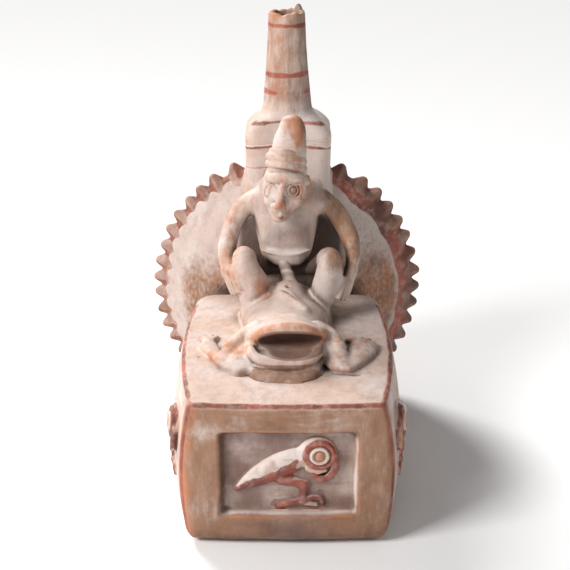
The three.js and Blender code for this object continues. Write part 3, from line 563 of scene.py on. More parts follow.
def clay(name, slip, warm, stroke=(1.0, 1.0, 8.0), cross=None, paint=(RED, DARK_RED)):
    """Burnished, worn slip over orange clay. stroke squeezes the brush marks along an axis.

    Where the mask "turned" is 1, the marks run along cross instead.
    """
    material = new_material(name)
    n = Nodes(material)
    place = n.add("TexCoord").outputs["Object"]
    broad = n.noise(place, 42.0, 4.0)
    cloud = n.noise(n.stretched(place, (1.3, 1.0, 0.8)), 130.0, 6.0, 0.65)
    grain = n.noise(place, 1400.0, 4.0, 0.7)
    flecks = n.noise(n.stretched(place, (1.0, 1.0, 0.7)), 520.0, 2.0, 0.5)
    specks = n.noise(place, 620.0, 3.0, 0.6)
    raised, stipple = n.mask("raised"), n.mask("stipple")

    def marks(*noise):
        """Brush marks along stroke, and along cross where the brush turned."""
        along = n.noise(n.stretched(place, stroke), *noise)
        if not cross:
            return along
        turned = n.mask("turned")
        across = n.noise(n.stretched(place, cross), *noise)
        return n.plus(n.times(along, n.math("SUBTRACT", 1.0, turned)), n.times(across, turned))

    def spread(mask, noise, share):
        """A mask with its edge broken up by noise."""
        return n.plus(mask, n.times(n.math("SUBTRACT", noise, 0.5), share))

    brushed, smeared = marks(300.0, 4.0, 0.62), marks(110.0, 3.0, 0.6)
    buff = spread(n.mask("buff"), brushed, 0.8)
    bare = n.plus(n.mask("bare"), n.ramp(raised, 0.15, 0.7, 0.0, 0.4))
    # Dark brown in hollows and where the masks ask: partly dirt, partly painted shade
    dirt = n.plus(n.ramp(raised, -0.15, -1.3, 0.0, 0.8), n.mask("dirt"))
    edge = spread(spread(n.mask("paint"), cloud, 2.2), grain, 0.6)
    thin = n.ramp(n.noise(place, 210.0, 5.0, 0.7), 0.34, 0.56, 0.6, 0.95)
    pits = n.times(n.ramp(flecks, 0.5, 0.36), stipple)
    crests = n.times(n.ramp(flecks, 0.52, 0.62), stipple)
    colour = slip
    for share, over in (
            (n.ramp(broad, 0.38, 0.64), warm),
            (n.ramp(cloud, 0.48, 0.68, 0.0, 0.45), PINK),
            (n.ramp(brushed, 0.5, 0.75, 0.0, 0.22), BUFF),
            (n.ramp(spread(buff, cloud, 0.5), 0.1, 0.95), BUFF),
            (n.ramp(spread(bare, cloud, 1.5), 0.2, 0.95), ORANGE),
            (n.times(n.ramp(smeared, 0.42, 0.7, 0.0, 0.42), n.mask("buff")), BROWN),
            (n.ramp(spread(n.mask("pale"), cloud, 1.4), 0.25, 1.0, 0.0, 0.9), WHITE),
            (n.ramp(spread(n.mask("soot"), broad, 1.2), 0.15, 1.0, 0.0, 0.9), SOOT_AND_SHADE),
            (n.times(n.ramp(edge, 0.4, -0.4), thin), n.mix(n.ramp(broad, 0.42, 0.66), *paint)),
            (n.ramp(spread(dirt, cloud, 0.7), 0.1, 1.0, 0.0, 0.85), BROWN),
            (n.ramp(specks, 0.64, 0.76, 0.0, 0.35), BROWN),
            (n.times(pits, 0.25), BROWN),
            (n.times(crests, 0.25), CREAM),
            # painted shade: darker towards a deep brown where the clay round a place shuts it in
            (n.ramp(n.mask("painted_shade"), 0.28, 0.95, 0.0, 0.9), SHADE_BROWN)):
        colour = n.mix(share, colour, over)
    tone = n.ramp(spread(cloud, grain, 0.5), 0.3, 0.72, 1.06, 0.9)
    grey = n.add("CombineColor", {0: tone, 1: tone, 2: tone}).outputs[0]
    colour = n.mix(1.0, colour, grey, "MULTIPLY")
    rough = n.ramp(cloud, 0.3, 0.7, 0.48, 0.78)
    height = n.times(n.times(flecks, stipple), 3.0)
    for noise, share in ((brushed, 0.5), (grain, 0.3), (cloud, 0.9)):
        height = n.plus(height, n.times(noise, share))
    bump = n.add("Bump", {"Height": height, "Strength": 0.8, "Distance": 0.0005}).outputs[0]
    shader = n.add("BsdfPrincipled", {"Base Color": colour, "Roughness": rough, "Normal": bump, "IOR": 1.42})
    n.tree.links.new(shader.outputs[0], n.add("OutputMaterial").inputs["Surface"])
    return material


MATERIALS = {
    "plinth": clay("plinth_clay", CREAM, WARM, stroke=(0.38, 0.6, 1.5), cross=(1.5, 0.6, 0.38)),
    "bird": clay("bird_clay", WARM, PINK, stroke=(1, 1, 1), paint=(rgb(150, 76, 62), rgb(100, 56, 50))),
    "shell": clay("shell_clay", CREAM, rgb(199, 178, 168), stroke=(1, 1, 1)),
    "rim": clay("rim_clay", PINK, BUFF, stroke=(1, 1, 1), paint=(rgb(144, 90, 78), rgb(102, 68, 62))),
    "tower": clay("tower_clay", CREAM, WARM, stroke=(0.45, 0.45, 2.8)),
    "spout": clay("spout_clay", CREAM, WARM, stroke=(2.0, 2.0, 0.35)),
    "figure": clay("figure_clay", CREAM, WARM, stroke=(1.6, 1.6, 0.7)),
    "toad": clay("toad_clay", CREAM, WARM, stroke=(0.8, 1.4, 1)),
}

NO_MASKS = dict.fromkeys(("bare", "buff", "pale", "soot", "stipple", "dirt", "turned", "lit", "shaded"), 0.0)
NO_MASKS["paint"] = 9.0  # millimetres from the nearest paint


class PaintedShade:
    """Painted shade: how shut in a place is by the clay round it, from a coarse lattice of the whole vessel.
    The more shut in a place is, the darker its colour is painted.
    """

    STEP = 2.0
    REACHES = ((4.0, 0.3), (9.0, 0.35), (16.0, 0.35))

    def __init__(self, low, high, fields):
        self.low = np.array(low, float)
        sides = [np.arange(a, b, self.STEP) for a, b in zip(low, high)]
        x, y, z = np.meshgrid(*sides, indexing="ij", sparse=True)
        self.values = np.full(np.broadcast(x, y, z).shape, 99.0)
        for field in fields:
            self.values = np.minimum(self.values, field(x, y, z))
        self.slopes = np.gradient(self.values, self.STEP)

    def at(self, points):
        normal = np.column_stack([sample(s, self.low, self.STEP, points) for s in self.slopes])
        normal /= np.maximum(np.linalg.norm(normal, axis=1), 0.2)[:, None]
        shut = 0
        for reach, share in self.REACHES:
            away = sample(self.values, self.low, self.STEP, points + reach * normal)
            shut = shut + share * unit(1 - away / reach)
        return shut


# How each piece is made: its slot, its mesh's step, its clay, and its unevenness and the length of that.
# A left and a right piece share a row
PIECES = {
    "plinth": ("buff_clay", 0.9, "plinth", 0.22, 22),
    "front_bird": ("red_slip", 0.36, "bird", 0.06, 5),
    "bird": ("red_slip", 0.45, "bird", 0.08, 6),
    "shell_front_valve": ("pink_slip", 0.8, "shell", 0.3, 18),
    "shell_rear_valve": ("pink_slip", 0.8, "shell", 0.3, 18),
    "shell_rim": ("red_slip", 0.59, "rim", 0.12, 6),
    "tower": ("cream_slip", 0.62, "tower", 0.22, 12),
    "spout": ("cream_slip", 0.5, "spout", 0.18, 10),
    "toad_body": ("cream_slip", 0.5, "toad", 0.25, 9),
    "toad_lower_jaw": ("pink_slip", 0.5, "toad", 0.2, 8),
    "toad_limb": ("orange_slip", 0.45, "toad", 0.15, 7),
    "figure_torso": ("pink_slip", 0.55, "figure", 0.3, 10),
    "figure_head": ("cream_slip", 0.4, "figure", 0.08, 5),
    "figure_headband": ("cream_slip", 0.42, "figure", 0.12, 5),
    "figure_cap": ("orange_slip", 0.5, "figure", 0.2, 7),
    "figure_arm": ("orange_slip", 0.45, "figure", 0.18, 8),
    "figure_leg": ("cream_slip", 0.5, "figure", 0.25, 9),
    "clay_post": ("cream_slip", 0.5, "figure", 0.1, 6),
}


def build(name, form, masks, nodes=None):
    """Meshes a form and gives it its masks. masks is a function of x, y, z."""
    slot, step, material, rough, rough_size = PIECES[name.replace("left_", "").replace("right_", "")]
    points, quads, raised = model(form, step, rough, rough_size, len(name))
    found = NO_MASKS | masks(*points.T)
    found = {key: np.broadcast_to(value, len(points)) for key, value in found.items()}
    found["raised"] = raised
    # Painted shade: how shut in each point is, less where lit is high, and at least as much as shaded asks
    found["painted_shade"] = np.maximum(painted_shade.at(points) * (1 - found["lit"]), found["shaded"])
    make_piece(name, nodes or [name], points, quads, found, MATERIALS[material])


def near(value, centre, width):
    """1 at centre, falling to 0 at about width away."""
    return np.exp(-((value - centre) / width) ** 2)


def spot(x, y, z, centre, size):
    return np.exp(-((x - centre[0]) ** 2 + (y - centre[1]) ** 2 + (z - centre[2]) ** 2) / size ** 2)


# Plinth

def behind_figure(x, y, z):
    """1 on the walls that the seated figure and its arms shut in, where painted shade goes."""
    h = z - DECK
    side = unit((33 - np.abs(x - 2)) / 7)
    return side * unit((53 - 0.012 * x * x - h) / 9) * unit((h - 4) / 8) * (y < 0)


def plinth_masks(x, y, z):
    front = FRONT + BOW
    wall = plan_distance(x, y, z)
    rough_edge = 0.5 * waves(x, y, z, 6, 9)
    top = np.hypot(wall + 0.9, z - DECK + 0.9) - 1.15 + 0.5 * rough_edge
    top = np.where(y > REAR - CORNER_REAR, 9, top)
    side = np.abs(x) - (FRONT_HALF + swell_at(z) - 1.2)
    upright = np.hypot(side, y - front - 1.4) - 1.1 + 0.6 * rough_edge + np.clip((16 - z) * 0.1, 0, 9)
    facing = unit((front + FRAME_DEPTH + 2 - y) / 2) * unit((DECK - 1 - z) / 2)
    sunk = face_depth(x, z) / FRAME_DEPTH
    floor = unit(sunk * 1.6 - 0.6)
    low = unit((18 - z) / 18)
    deck = unit((z - DECK + 1.5))
    right = unit((x - 5) / 30)
    worn = waves(x, y, z, 16, 8)
    # The sunken frame's left and top bevels get painted shade, its right and bottom bevels a painted
    # highlight
    shaded_bevel = near(sunk, 0.55, 0.4) * unit(np.maximum((-x - 26) / 4, (z - 56) / 4)) * (sunk > 0.03)
    lit_bevel = near(sunk, 0.5, 0.35) * unit(np.maximum((x - 27) / 4, (26 - z) / 4)) * (sunk > 0.03)
    grey_patch = spot(x, 0, z, (-38, 0, 63), 9) + 0.6 * spot(x, 0, z, (-22, 0, 68), 8)
    return {
        "paint": np.minimum(top, upright),
        # the deck's right side is a little darker, as painted shade
        "buff": facing * (0.85 - 0.5 * floor) + 0.3 * low + 0.12 * deck * right + 0.25 * worn * (1 - deck),
        "bare": facing * (1 - floor) * 0.22 + 0.15 * (1 - facing) * (1 - deck) + 0.15 * worn
                + 0.6 * facing * near(side, -2.0, 2.5) * (x < 0),
        # pale includes the painted highlight on the right and bottom bevels
        "pale": 0.1 * deck + 0.7 * facing * grey_patch + 0.8 * facing * lit_bevel - 0.2 * worn,
        "soot": facing * (0.4 * spot(x, 0, z, (2, 0, 9), 16) + 0.3 * low + 0.15 * (1 - floor)
                          + (0.8 + 0.5 * worn - 0.25 * right - 0.15 * (z < 32)) * floor),
        # the first term is painted shade on the left and top bevels
        "dirt": 0.75 * facing * shaded_bevel + 0.25 * facing * floor * unit((-x - 20) / 6)
                + 0.15 * facing * (1 - floor) + 0.2 * facing * low,
        "turned": facing * unit((np.abs(x) - 24) / 14),
    }


def build_plinth():
    form = Form([-60, FRONT - 1, -0.5], [60, REAR + 0.5, DECK + 0.5], plinth_field)
    nodes = [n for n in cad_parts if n.startswith("plinth_")]
    build("plinth", form, plinth_masks, nodes)


# Birds, in their own frame: u the way the bird faces, d out of the wall, w up

RING = (15.2, 51.3)  # centre of the bird's painted eye ring
BIRD_HEIGHT = 38.0 / 0.985  # in the bird's own frame
SIDE_BIRD_LIFT = 4


def bird_form(relief):
    """The bird on a wall at d = 0. relief is how far it stands out."""
    def line(places, radii, d=0.0, flat=0.62):
        return roll([(u, -d * relief, w) for u, w in places], radii, ("y", flat), pieces=4)

    def ring(radius, thick, d):
        return roll([(RING[0] + radius * math.cos(a), -relief * d, RING[1] + radius * math.sin(a))
                     for a in np.linspace(0, 2 * math.pi, 13)], [thick] * 13, pieces=2)

    skull = ball((14.0, 0, 51.2), (9.6, relief * 1.05, 9.4))
    trunk = line([(5, 49.4), (-1, 46.6), (-8, 42.8), (-15, 38.8), (-20.5, 35.2), (-26, 31)],
                 [5.2, 6.2, 6.2, 5.0, 3.4, 1.4], 0.0, 0.56)
    wing = line([(2.5, 49.8), (-5, 46.4), (-13, 41.4), (-20, 36.8), (-25.4, 32.2)],
                [3.6, 4.6, 4.2, 2.8, 1.0], 0.3, 0.56)
    thigh = line([(-3.7, 36.4), (2.5, 35.2), (7.8, 33.6)], [2.6, 2.2, 1.6], 0.2)
    shin = line([(7.8, 33.6), (7.6, 28.4), (6.5, 23.6)], [1.6, 1.3, 1.3], 0.25)
    toes = [line(places, radii, 0.25) for places, radii in (
        ([(6.5, 23.8), (0.7, 22.4), (-5, 20.8)], [1.4, 1.4, 1.0]),
        ([(6.5, 23.6), (11.8, 25.8), (16, 25), (16.8, 21.9)], [1.3, 1.2, 1.2, 0.9]),
        ([(6.5, 23), (13.6, 21.6)], [1.3, 1.0]))]
    beak = line([(22.4, 50), (23.0, 43.6), (20, 38.6), (15.2, 37.4), (12, 40)],
                [2.2, 2.2, 2.0, 1.7, 1.0], 0.5)
    lower = line([(9.5, 43.6), (13.4, 41.8), (18, 42.6)], [1.5, 1.5, 1.0], 0.6)
    body = joined([trunk, wing], 0.5).join(skull, 1.6)
    body = joined([body, thigh, shin, *toes, beak, lower], 0.8)
    pupil = ball((RING[0], -relief, RING[1]), (1.7, 1.0, 2.2))
    return joined([body, ring(7.0, 1.0, 0.72), ring(4.0, 0.8, 0.98), pupil], 0.7)


# Painted lines: their places and half widths
BIRD_LINES = (
    ([(22.8, 50), (23.2, 43.4), (20.2, 38.2), (15, 37), (11.8, 39.8)], 2.0),
    ([(3.6, 48.2), (-1.1, 44.7), (-6.4, 41.1), (-12.6, 37.6)], 1.3),
    ([(-11, 38), (-18, 36), (-25.4, 31)], 1.9),
    ([(4.6, 41.6), (-0.2, 37), (-9, 34.6), (-18, 33)], 1.4),
    ([(-3.7, 35.4), (2.5, 35), (7.8, 33.6), (7.6, 28.4), (6.5, 23.6)], 2.0),
    ([(6.5, 23.6), (0.7, 22.2), (-5.5, 20.5)], 1.8),
    ([(6.5, 23.6), (12, 25.6), (16.2, 25), (17, 21.8)], 1.6),
)


def bird_masks(u, d, w):
    """Where the bird is painted: round the eye, on the beak, along the wing and down the leg."""
    raised = unit((d - 0.35) / 0.5)
    eye = np.hypot(u - RING[0], w - RING[1])
    paint = [np.maximum(5.0 - eye, eye - 8.4)]
    for places, width in BIRD_LINES:
        for a, b in zip(places, places[1:]):
            ab = np.subtract(b, a)
            t = unit(((u - a[0]) * ab[0] + (w - a[1]) * ab[1]) / (ab @ ab))
            paint.append(np.hypot(u - a[0] - t * ab[0], w - a[1] - t * ab[1]) - width)
    upper = np.interp(u, (-25.1, -20.6, -12.6, -6.4, -1.1, 2.9), (32.4, 37.4, 40.2, 43.6, 46.6, 48.6))
    under = np.interp(u, (-20.6, -15.3, -8.2, -0.2, 5.1), (32.2, 32.8, 34, 35.6, 41))
    paint.append(np.maximum(np.maximum(w - upper, under - w), u - 4.5) + 1.1 * waves(u, d, w, 2.6, 3) + 0.2)
    back = (w > 0.62 * u + 45.0) * (u < 8)
    crown = (np.hypot(u - 14, w - 51.2) > 7.6) * (u < 16) * (w > 50)
    pale = 0.85 * near(eye, 4.3, 0.7) + (0.75 + 0.5 * waves(u, d, w, 3, 6)) * back + 0.8 * crown
    return {
        "paint": np.min(paint, axis=0),
        "bare": 1.2 * (eye < 2.1),
        "pale": pale * raised,
        "soot": 0.5 * near(eye, 2.9, 0.6),
        "lit": 1 - raised,
    }


def build_bird(name, relief, box, wall, fillet, to_wall, worn):
    """A bird in a box on a wall.

    to_wall gives how far a place is from the bird's middle along the wall, into it and up. worn gives the
    masks that are this bird's own.
    """
    low, high = node_box(name)
    scale = (high[2] - low[2]) / BIRD_HEIGHT
    own = bird_form(relief)

    def to_bird(x, y, z):
        along, deep, up = to_wall(x, y, z)
        return along / scale - 0.35, deep / scale, up / scale + 40.3

    def masks(x, y, z):
        u, d, w = to_bird(x, y, z)
        found = bird_masks(u, -d, w)
        return found | worn(found, x, y, z)

    placed = Form(*box, lambda x, y, z: own.field(*to_bird(x, y, z)) * scale)
    build(name, rooted(placed, wall, fillet), masks)


def build_front_bird():
    low, high = node_box("front_bird")
    middle = (low + high) / 2
    floor_y = FRONT + FRAME_DEPTH
    box = [low[0], low[1] - MIDDLE_Y, low[2]], [high[0], floor_y, high[2]]

    def worn(found, x, y, z):
        """The fillet round the bird has the colours of the frame's floor."""
        return {"soot": found["soot"] + 0.85 * found["lit"], "buff": 0.35 * found["lit"]}

    build_bird("front_bird", 3.3, box, front_wall, 1.6,
               lambda x, y, z: (x - middle[0], y - floor_y, z - middle[2]), worn)


def build_side_bird(name):
    low, high = node_box(name)
    middle = (low + high) / 2 + [0, -MIDDLE_Y, SIDE_BIRD_LIFT]
    box = [low[0], low[1] - MIDDLE_Y - 1, low[2]], [high[0], high[1] - MIDDLE_Y + 1, high[2] + 5]

    def worn(found, x, y, z):
        return {"bare": found["bare"] + 0.3, "paint": found["paint"] + 0.2 + 1.2 * waves(x, y, z, 4, 2)}

    build_bird(name, 3.9, box, plan_distance, 1.8,
               lambda x, y, z: (middle[1] - y, -plan_distance(x, y, z), z - middle[2]), worn)


# Shell

def valve_masks(x, y, z):
    r = shell_radius(x, z)
    low = unit((100 - z + 8 * waves(x, y, z, 18, 2)) / 26)
    right = unit((x - 6) / 30)
    field = unit((63 + 3 * right - r) / 7)
    return {
        # painted shade on the walls behind the figure and its arms
        "shaded": 0.95 * behind_figure(x, y, z),
        "stipple": field * unit(low + 0.8 * right) * (y < 0),
        "lit": 0.7 * right * unit((z - DECK - 6) / 8),
        "bare": 0.3 * low * field + 0.04 + 0.2 * right,
        "buff": low * field * (0.75 + 0.35 * right) + 0.06 * (1 - low),
        "soot": 0.6 * spot(x, 0, z, (50, 0, 90), 6),
        # the right side, which faces away from the key light, is painted paler to stand in for light
        "pale": 0.2 * unit((-x - 10) / 40) * (1 - low) + 0.6 * right * (1 - low),
        "paint": 72 - r - 8.0 * right + 0.9 * waves(x, y, z, 9, 7),
    }


def collar_form():
    """The short tube that joins the plinth's rear wall to the front valve."""
    low, high = node_box("passage_collar")
    middle_x, middle_z = (low[0] + high[0]) / 2, (low[2] + high[2]) / 2
    radius = (high[0] - low[0]) / 2
    y0, y1 = low[1] - MIDDLE_Y, high[1] - MIDDLE_Y

    def field(x, y, z):
        r = np.sqrt((x - middle_x) ** 2 + (z - middle_z) ** 2)
        tube = np.maximum(r - radius, radius - COLLAR_WALL - r)
        return smooth_max(tube, np.maximum(y - y1 - 1, y0 - y), 1)

    return Form([low[0], y0, low[2]], [high[0], y1, high[2]], field)


def build_valves():
    for name, side in (("shell_front_valve", -1), ("shell_rear_valve", 1)):
        def field(x, y, z):
            body = smooth_max(dome_field(x, y, z), -side * y + 3.0, 0.5)
            return smooth_max(body, -z, 0.8)

        y0, y1 = sorted((side * 2.8, side * (DOME_DEPTH + 0.5)))
        form = Form([-DOME - 1, y0, -0.5], [DOME + 1, y1, DISC_Z + DOME * STRETCH + 1], field)
        nodes = [name]
        if side < 0:
            form = form.join(collar_form(), 1.5)
            nodes.append("passage_collar")
        build(name, form, valve_masks, nodes)


def spike_angles():
    """Each spike's side, its angle from the top and its pitch."""
    for side, (first, gap, pitch) in SPIKE_ROWS.items():
        for i in range(SPIKES["count"]):
            yield side, math.radians(first + (gap + (i - 1) * pitch if i else 0)), math.radians(pitch)


def spike_field(side, angle, pitch):
    """A blunt four-sided pyramid. Its ridges point both ways along the rim, to the front and to the rear."""
    sideways, upwards = side * math.sin(angle), math.cos(angle)
    foot = np.array([sideways * RIM_RADIUS, 0, DISC_Z + upwards * RIM_RADIUS * STRETCH])
    out = np.array([sideways * STRETCH, 0, upwards])
    out /= np.linalg.norm(out)
    along = np.array([out[2], 0, -out[0]])
    vary = rng.uniform(-1, 1, 4)
    half = pitch * RIM_RADIUS / 2 * 1.06
    length = SPIKES["length"] * (1 + 0.07 * vary[0])
    lean = 0.14 * vary[1]

    def field(x, y, z):
        h = (x - foot[0]) * out[0] + (z - foot[2]) * out[2]
        a = (x - foot[0]) * along[0] + (z - foot[2]) * along[2] - lean * h
        share = np.clip(1 - (h - 0.9) / (length * 1.22), 0.05, 1.6)
        deep = np.clip(1 - (h - 0.5) / (length * 1.4), 0.1, 1.1)
        u, v = np.abs(a) / (half * share), np.abs(y - 0.5 * vary[2]) / ((SPIKES["depth"] + 0.8) * deep)
        across = (u ** 1.25 + v ** 1.25) ** (1 / 1.25)
        side_wall = (across - 1) * 3.2 * share
        return smooth_max(smooth_max(side_wall, h - length, 1.3), -h - 6.5, 1)

    reach = half + 1 + SPIKE_REACH
    return Form(foot - [reach, 11, reach], foot + [reach, 11, reach], field)


def build_rim():
    spikes = [spike_field(*place) for place in spike_angles()]

    def field(x, y, z):
        r = shell_radius(x, z)
        values = np.array(np.broadcast_to(rim_field(x, y, z), np.broadcast(x, y, z).shape))
        for spike in spikes:
            window = tuple(slice(*np.searchsorted(axis.ravel(), (spike.low[i], spike.high[i])))
                           for i, axis in enumerate((x, y, z)))
            part = spike.field(x[window[0]], y[:, window[1]], z[:, :, window[2]])
            values[window] = smooth_min(values[window], part, 1.0)
        return smooth_max(smooth_max(values, RIM_FOOT - r, 1), -z, 0.8)

    reach = RIM_RADIUS + SPIKE_REACH
    own = Form([-reach, -8, -0.5], [reach, 8, DISC_Z + reach * STRETCH], field)
    form = rooted(own, lambda x, y, z: smooth_max(dome_field(x, y, z), -z, 0.8), 1.6)
    form.low[2] = -0.5

    def masks(x, y, z):
        r = shell_radius(x, z)
        right = unit((x + 5) / 30)
        high = unit((z - 90) / 40)
        spiky = unit((r - RIM_RADIUS + 3.5) / 3)
        angle = np.arctan2(x, z - DISC_Z)
        turn = np.abs(angle)
        side = np.where(x < 0, -1, 1)
        phase = np.zeros_like(x)
        for sign, (first, gap, pitch) in SPIKE_ROWS.items():
            start = math.radians(first + gap)
            phase = np.where(side == sign, (turn - start) / math.radians(pitch), phase)
        # Each spike's upper face gets a painted highlight and its lower face painted shade, beside its own
        # paint
        lower_face = unit(0.5 + 1.6 * np.sin(2 * math.pi * phase))
        patch = waves(x, y, z, 7, 5)
        band = 1 - spiky
        left_paint = 0.55 - (1.2 + 0.8 * high) * lower_face * spiky + 0.7 * band
        right_paint = 0.3 - 0.9 * lower_face * spiky - 0.5 * band
        return {
            "paint": left_paint * (1 - right) + right_paint * right + 0.9 * patch,
            "bare": 0.1 + 0.6 * spiky * lower_face * (1 - right),
            "pale": (0.2 * spiky * (1 - lower_face) + 0.45 * band) * (1 - right) + 0.25 * band * right,
            "soot": 0.45 * right * unit((75 - z) / 20) + 0.45 * spiky * (1 - lower_face),
            "buff": 0.15 + 0.25 * spiky + 0.2 * right,
            "lit": 0.4 * right,
            "dirt": 0.35 * spiky * lower_face,
        }

    nodes = ["shell_rim_band"] + [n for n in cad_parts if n.startswith("spike_")]
    build("shell_rim", form, masks, nodes)


# Tower and spout

def spout_form():
    def field(x, y, z):
        r = np.sqrt(x * x + y * y)
        angle = np.arctan2(y, x)
        edge = SPOUT_TOP + 0.35 * np.sin(5 * angle + 1) + 0.25 * np.sin(11 * angle)
        edge = edge + 3.4 * np.exp(-((angle - 0.75) / 0.26) ** 2) - 0.7 * np.exp(-((angle + 2) / 0.5) ** 2)
        radius = spout_radius(z)
        facets = 0.18 * np.cos(9 * angle + 0.04 * z)
        pipe = smooth_max(np.maximum(r - radius - facets, spout_low[2] - 3 - z), z - edge, 0.9)
        bore = np.maximum(r - radius + SPOUT_WALL, spout_low[2] - 20 - z)
        return smooth_max(pipe, -bore, 0.8)

    reach = SPOUT_RADII[0][1] + 0.5
    return Form([-reach, -reach, spout_low[2] - 2], [reach, reach, spout_high[2]], field)


def round_bore(radius):
    """What is cut away along the spout's axis. radius is a function of z."""
    box = [-TOWER_BORE, -TOWER_BORE, 0], [TOWER_BORE, TOWER_BORE, spout_high[2]]
    return Form(*box, lambda x, y, z: np.sqrt(x * x + y * y) - radius(z))


def tower_form():
    low = [-tower_high[0] - 0.5, -21, tower_low[2] + 1]
    high = [tower_high[0] + 0.5, 21, shoulder_high[2] + 1]

    def shell(x, y, z):
        return smooth_min(dome_field(x, y, z), rim_field(x, y, z), 1)

    return rooted(Form(low, high, tower_field), shell, 3.0).cut(round_bore(lambda z: TOWER_BORE), 1)


def tower_masks(x, y, z):
    height, h = z - spout_low[2], z - DECK
    bend = (x / 22) ** 2
    bands = []
    worn = unit(waves(x, y, z, 5, 6) + 0.35)
    for at, width, tilt, wear in ((13.2, 1.4, 0.0, 1.8), (22.6, 1.55, 0.03, 0.5), (48.5, 1.4, 0.0, 0.5)):
        bands.append(np.abs(height - at - tilt * x) - width + wear * worn)
    front = 3 * (y > -10)
    for at, droop in ((93.3, 2.6), (80.8, 1.8)):
        bands.append(np.abs(h - at + droop * bend) - 0.8 + front)
    bands.append(np.abs(h - 69.8 - 0.08 * x) - 0.4 + front + 0.8 * (x > 0))
    band = np.min(bands, axis=0)
    gaps = 0.6 * unit(waves(x, y, z, 7, 4) + 0.1)
    right = unit((x - 2) / 12)
    spout = unit(height / 4)
    lines = near(h, 82.6 - 1.8 * bend, 0.5) + near(h, 84.4 - 1.8 * bend, 0.35) * (x > 6)
    return {
        "paint": band + gaps,
        # painted shade on the walls behind the figure and its arms
        "shaded": 0.95 * behind_figure(x, y, z),
        "lit": 0.7 * unit((h - 50) / 8),
        "bare": 0.15 * spout + 0.3 * spout * near(x, -6, 6) + 0.4 * near(np.abs(x), 22, 3) * (1 - spout),
        # The wall's right side is painted paler to stand in for light there
        "pale": 0.6 * near(height, 5, 5) + (0.3 + 0.4 * right) * (1 - spout)
                + 0.5 * near(h, 82 - 1.8 * bend, 0.8),
        # The spout's right side is painted darker, as painted shade
        "soot": 0.8 * right * spout + 0.05,
        "buff": 0.5 * spout,
        "dirt": 0.5 * lines * (y < -14) + 0.25 * near(h, 80.2 - 1.8 * bend, 0.5) * (y < -14),
    }


def build_tower():
    build("tower", tower_form(), tower_masks, ["tower_wall", "tower_shoulder"])
    bore = round_bore(lambda z: spout_radius(z) - SPOUT_WALL)
    build("spout", rooted(spout_form(), tower_field, 3.5).cut(bore, 0.8), tower_masks)


# Toad

# Stations: y from the deck's rear edge, half width, height and x
TOAD_BODY = [
    [-10, 11, 5], [-16, 18, 11, -0.6], [-23, 23, 15.6, -1], [-31, 24, 17.6, -1], [-41, 22.6, 16.6, -0.6],
    [-54, 20.6, 14.6], [-66, 20.2, 16.6], [-75, 20.6, 19.4, 0.4], [-80.5, 19.4, 20.2, 1],
    [-84.5, 17, 19.2, 1.2],
]
TOAD_JAW = [
    [-64, 14, 8], [-70, 17.6, 8.4], [-82, 18.2, 8.2, -0.6], [-91, 18, 7, -0.8], [-96, 17.4, 5.6, -1],
    [-100, 15.6, 4.2, -1.4], [-103, 12.8, 2.7, -1.8], [-105, 8.4, 1.3, -2],
]
MOUTH = lump((2.2, -88, 11.4), (16.2, 13, 5.0))
THROAT = lump((1.6, -85, 12.2), (15.4, 12.4, 5.6))


def toad_body():
    body = lying(seat_stations(TOAD_BODY), 2.2, 3)
    hump = lump((0.5, -33, 11), (9.5, 13, 9.4))
    ridge = bead(((-2.5, -41, 17.0), (3, -45, 16.4), (9.5, -52, 13.6)), [1.0, 1.3, 1.4])
    groove = bead(((-3.4, -38.8, 19.4), (1.5, -42.6, 18.9), (6, -47, 17.2), (9.4, -51, 15.6)),
                  [0.5, 0.9, 0.7, 0.5])
    lip = bead(((-17.2, -74, 9), (-15.6, -80, 11.2), (-11.8, -82.8, 14.2), (-7.6, -84, 16.0),
                (-2.8, -84.6, 17.2), (2.6, -84.8, 17.7), (7.2, -84.4, 17.2), (12.2, -83, 15.2),
                (17, -79.6, 13), (18, -74, 10)),
               [2.8, 3.0, 2.9, 2.9, 3.0, 3.0, 3.0, 2.9, 2.8, 2.6], pieces=3)
    vent = bead(((0.4, -36.4, 26), (0.4, -36.4, 13)), [1.15, 1.15])
    whole = joined([body, hump, ridge], 3.5).join(lip, 4.5)
    under = Form(whole.low, whole.high,
                 lambda x, y, z: smooth_max(y - (REAR - 70), z - DECK - 6, 2))
    return whole.cut(MOUTH, 1.4).cut(under, 1).cut(groove, 0.8).cut(vent, 0.6)


def toad_jaw():
    jaw = lying(seat_stations(TOAD_JAW), 3.0, 2)
    lip = bead(((-17, -78, 6.6), (-17.4, -89, 8.2), (-15.4, -94, 7.8), (-11, -96.4, 7.0),
                (-5, -97.2, 6.2), (1.4, -97.4, 5.8), (8.5, -96.8, 6.6), (13, -94.6, 7.6),
                (15.4, -89, 8.2), (16, -78, 6.6)),
               [2.0, 2.5, 2.4, 2.3, 2.2, 2.2, 2.3, 2.4, 2.4, 2.0], pieces=3)
    crease = bead(((-17, -95.8, 3.6), (-12, -99.2, 4.6), (-5, -100.2, 4.4), (1.4, -100.4, 4.2),
                   (8.5, -99.8, 4.8), (13.4, -97.2, 5.0)), [0.4, 0.8, 0.8, 0.8, 0.7, 0.4], pieces=3)
    return jaw.join(lip, 2.0).cut(THROAT, 1.5).cut(crease, 0.8)


def toad_limb(upper, web, sole, toes):
    """A bent limb: a roll along its ridge, a web from it down to the body, a flat sole and its toes."""
    ridge = bead(upper["line"], upper["radii"], ("z", 0.8))
    flaps = [bead(line, radii, ("z", 0.42)) for line, radii in web]
    foot = [bead(line, radii, ("z", 0.45)) for line, radii in sole]
    digits = [bead(line, [1.9, 1.7, 1.3], ("z", 0.8)) for line in toes]
    return joined([ridge, *flaps, *foot], 2.2).join(joined(digits, 0.4), 0.9)


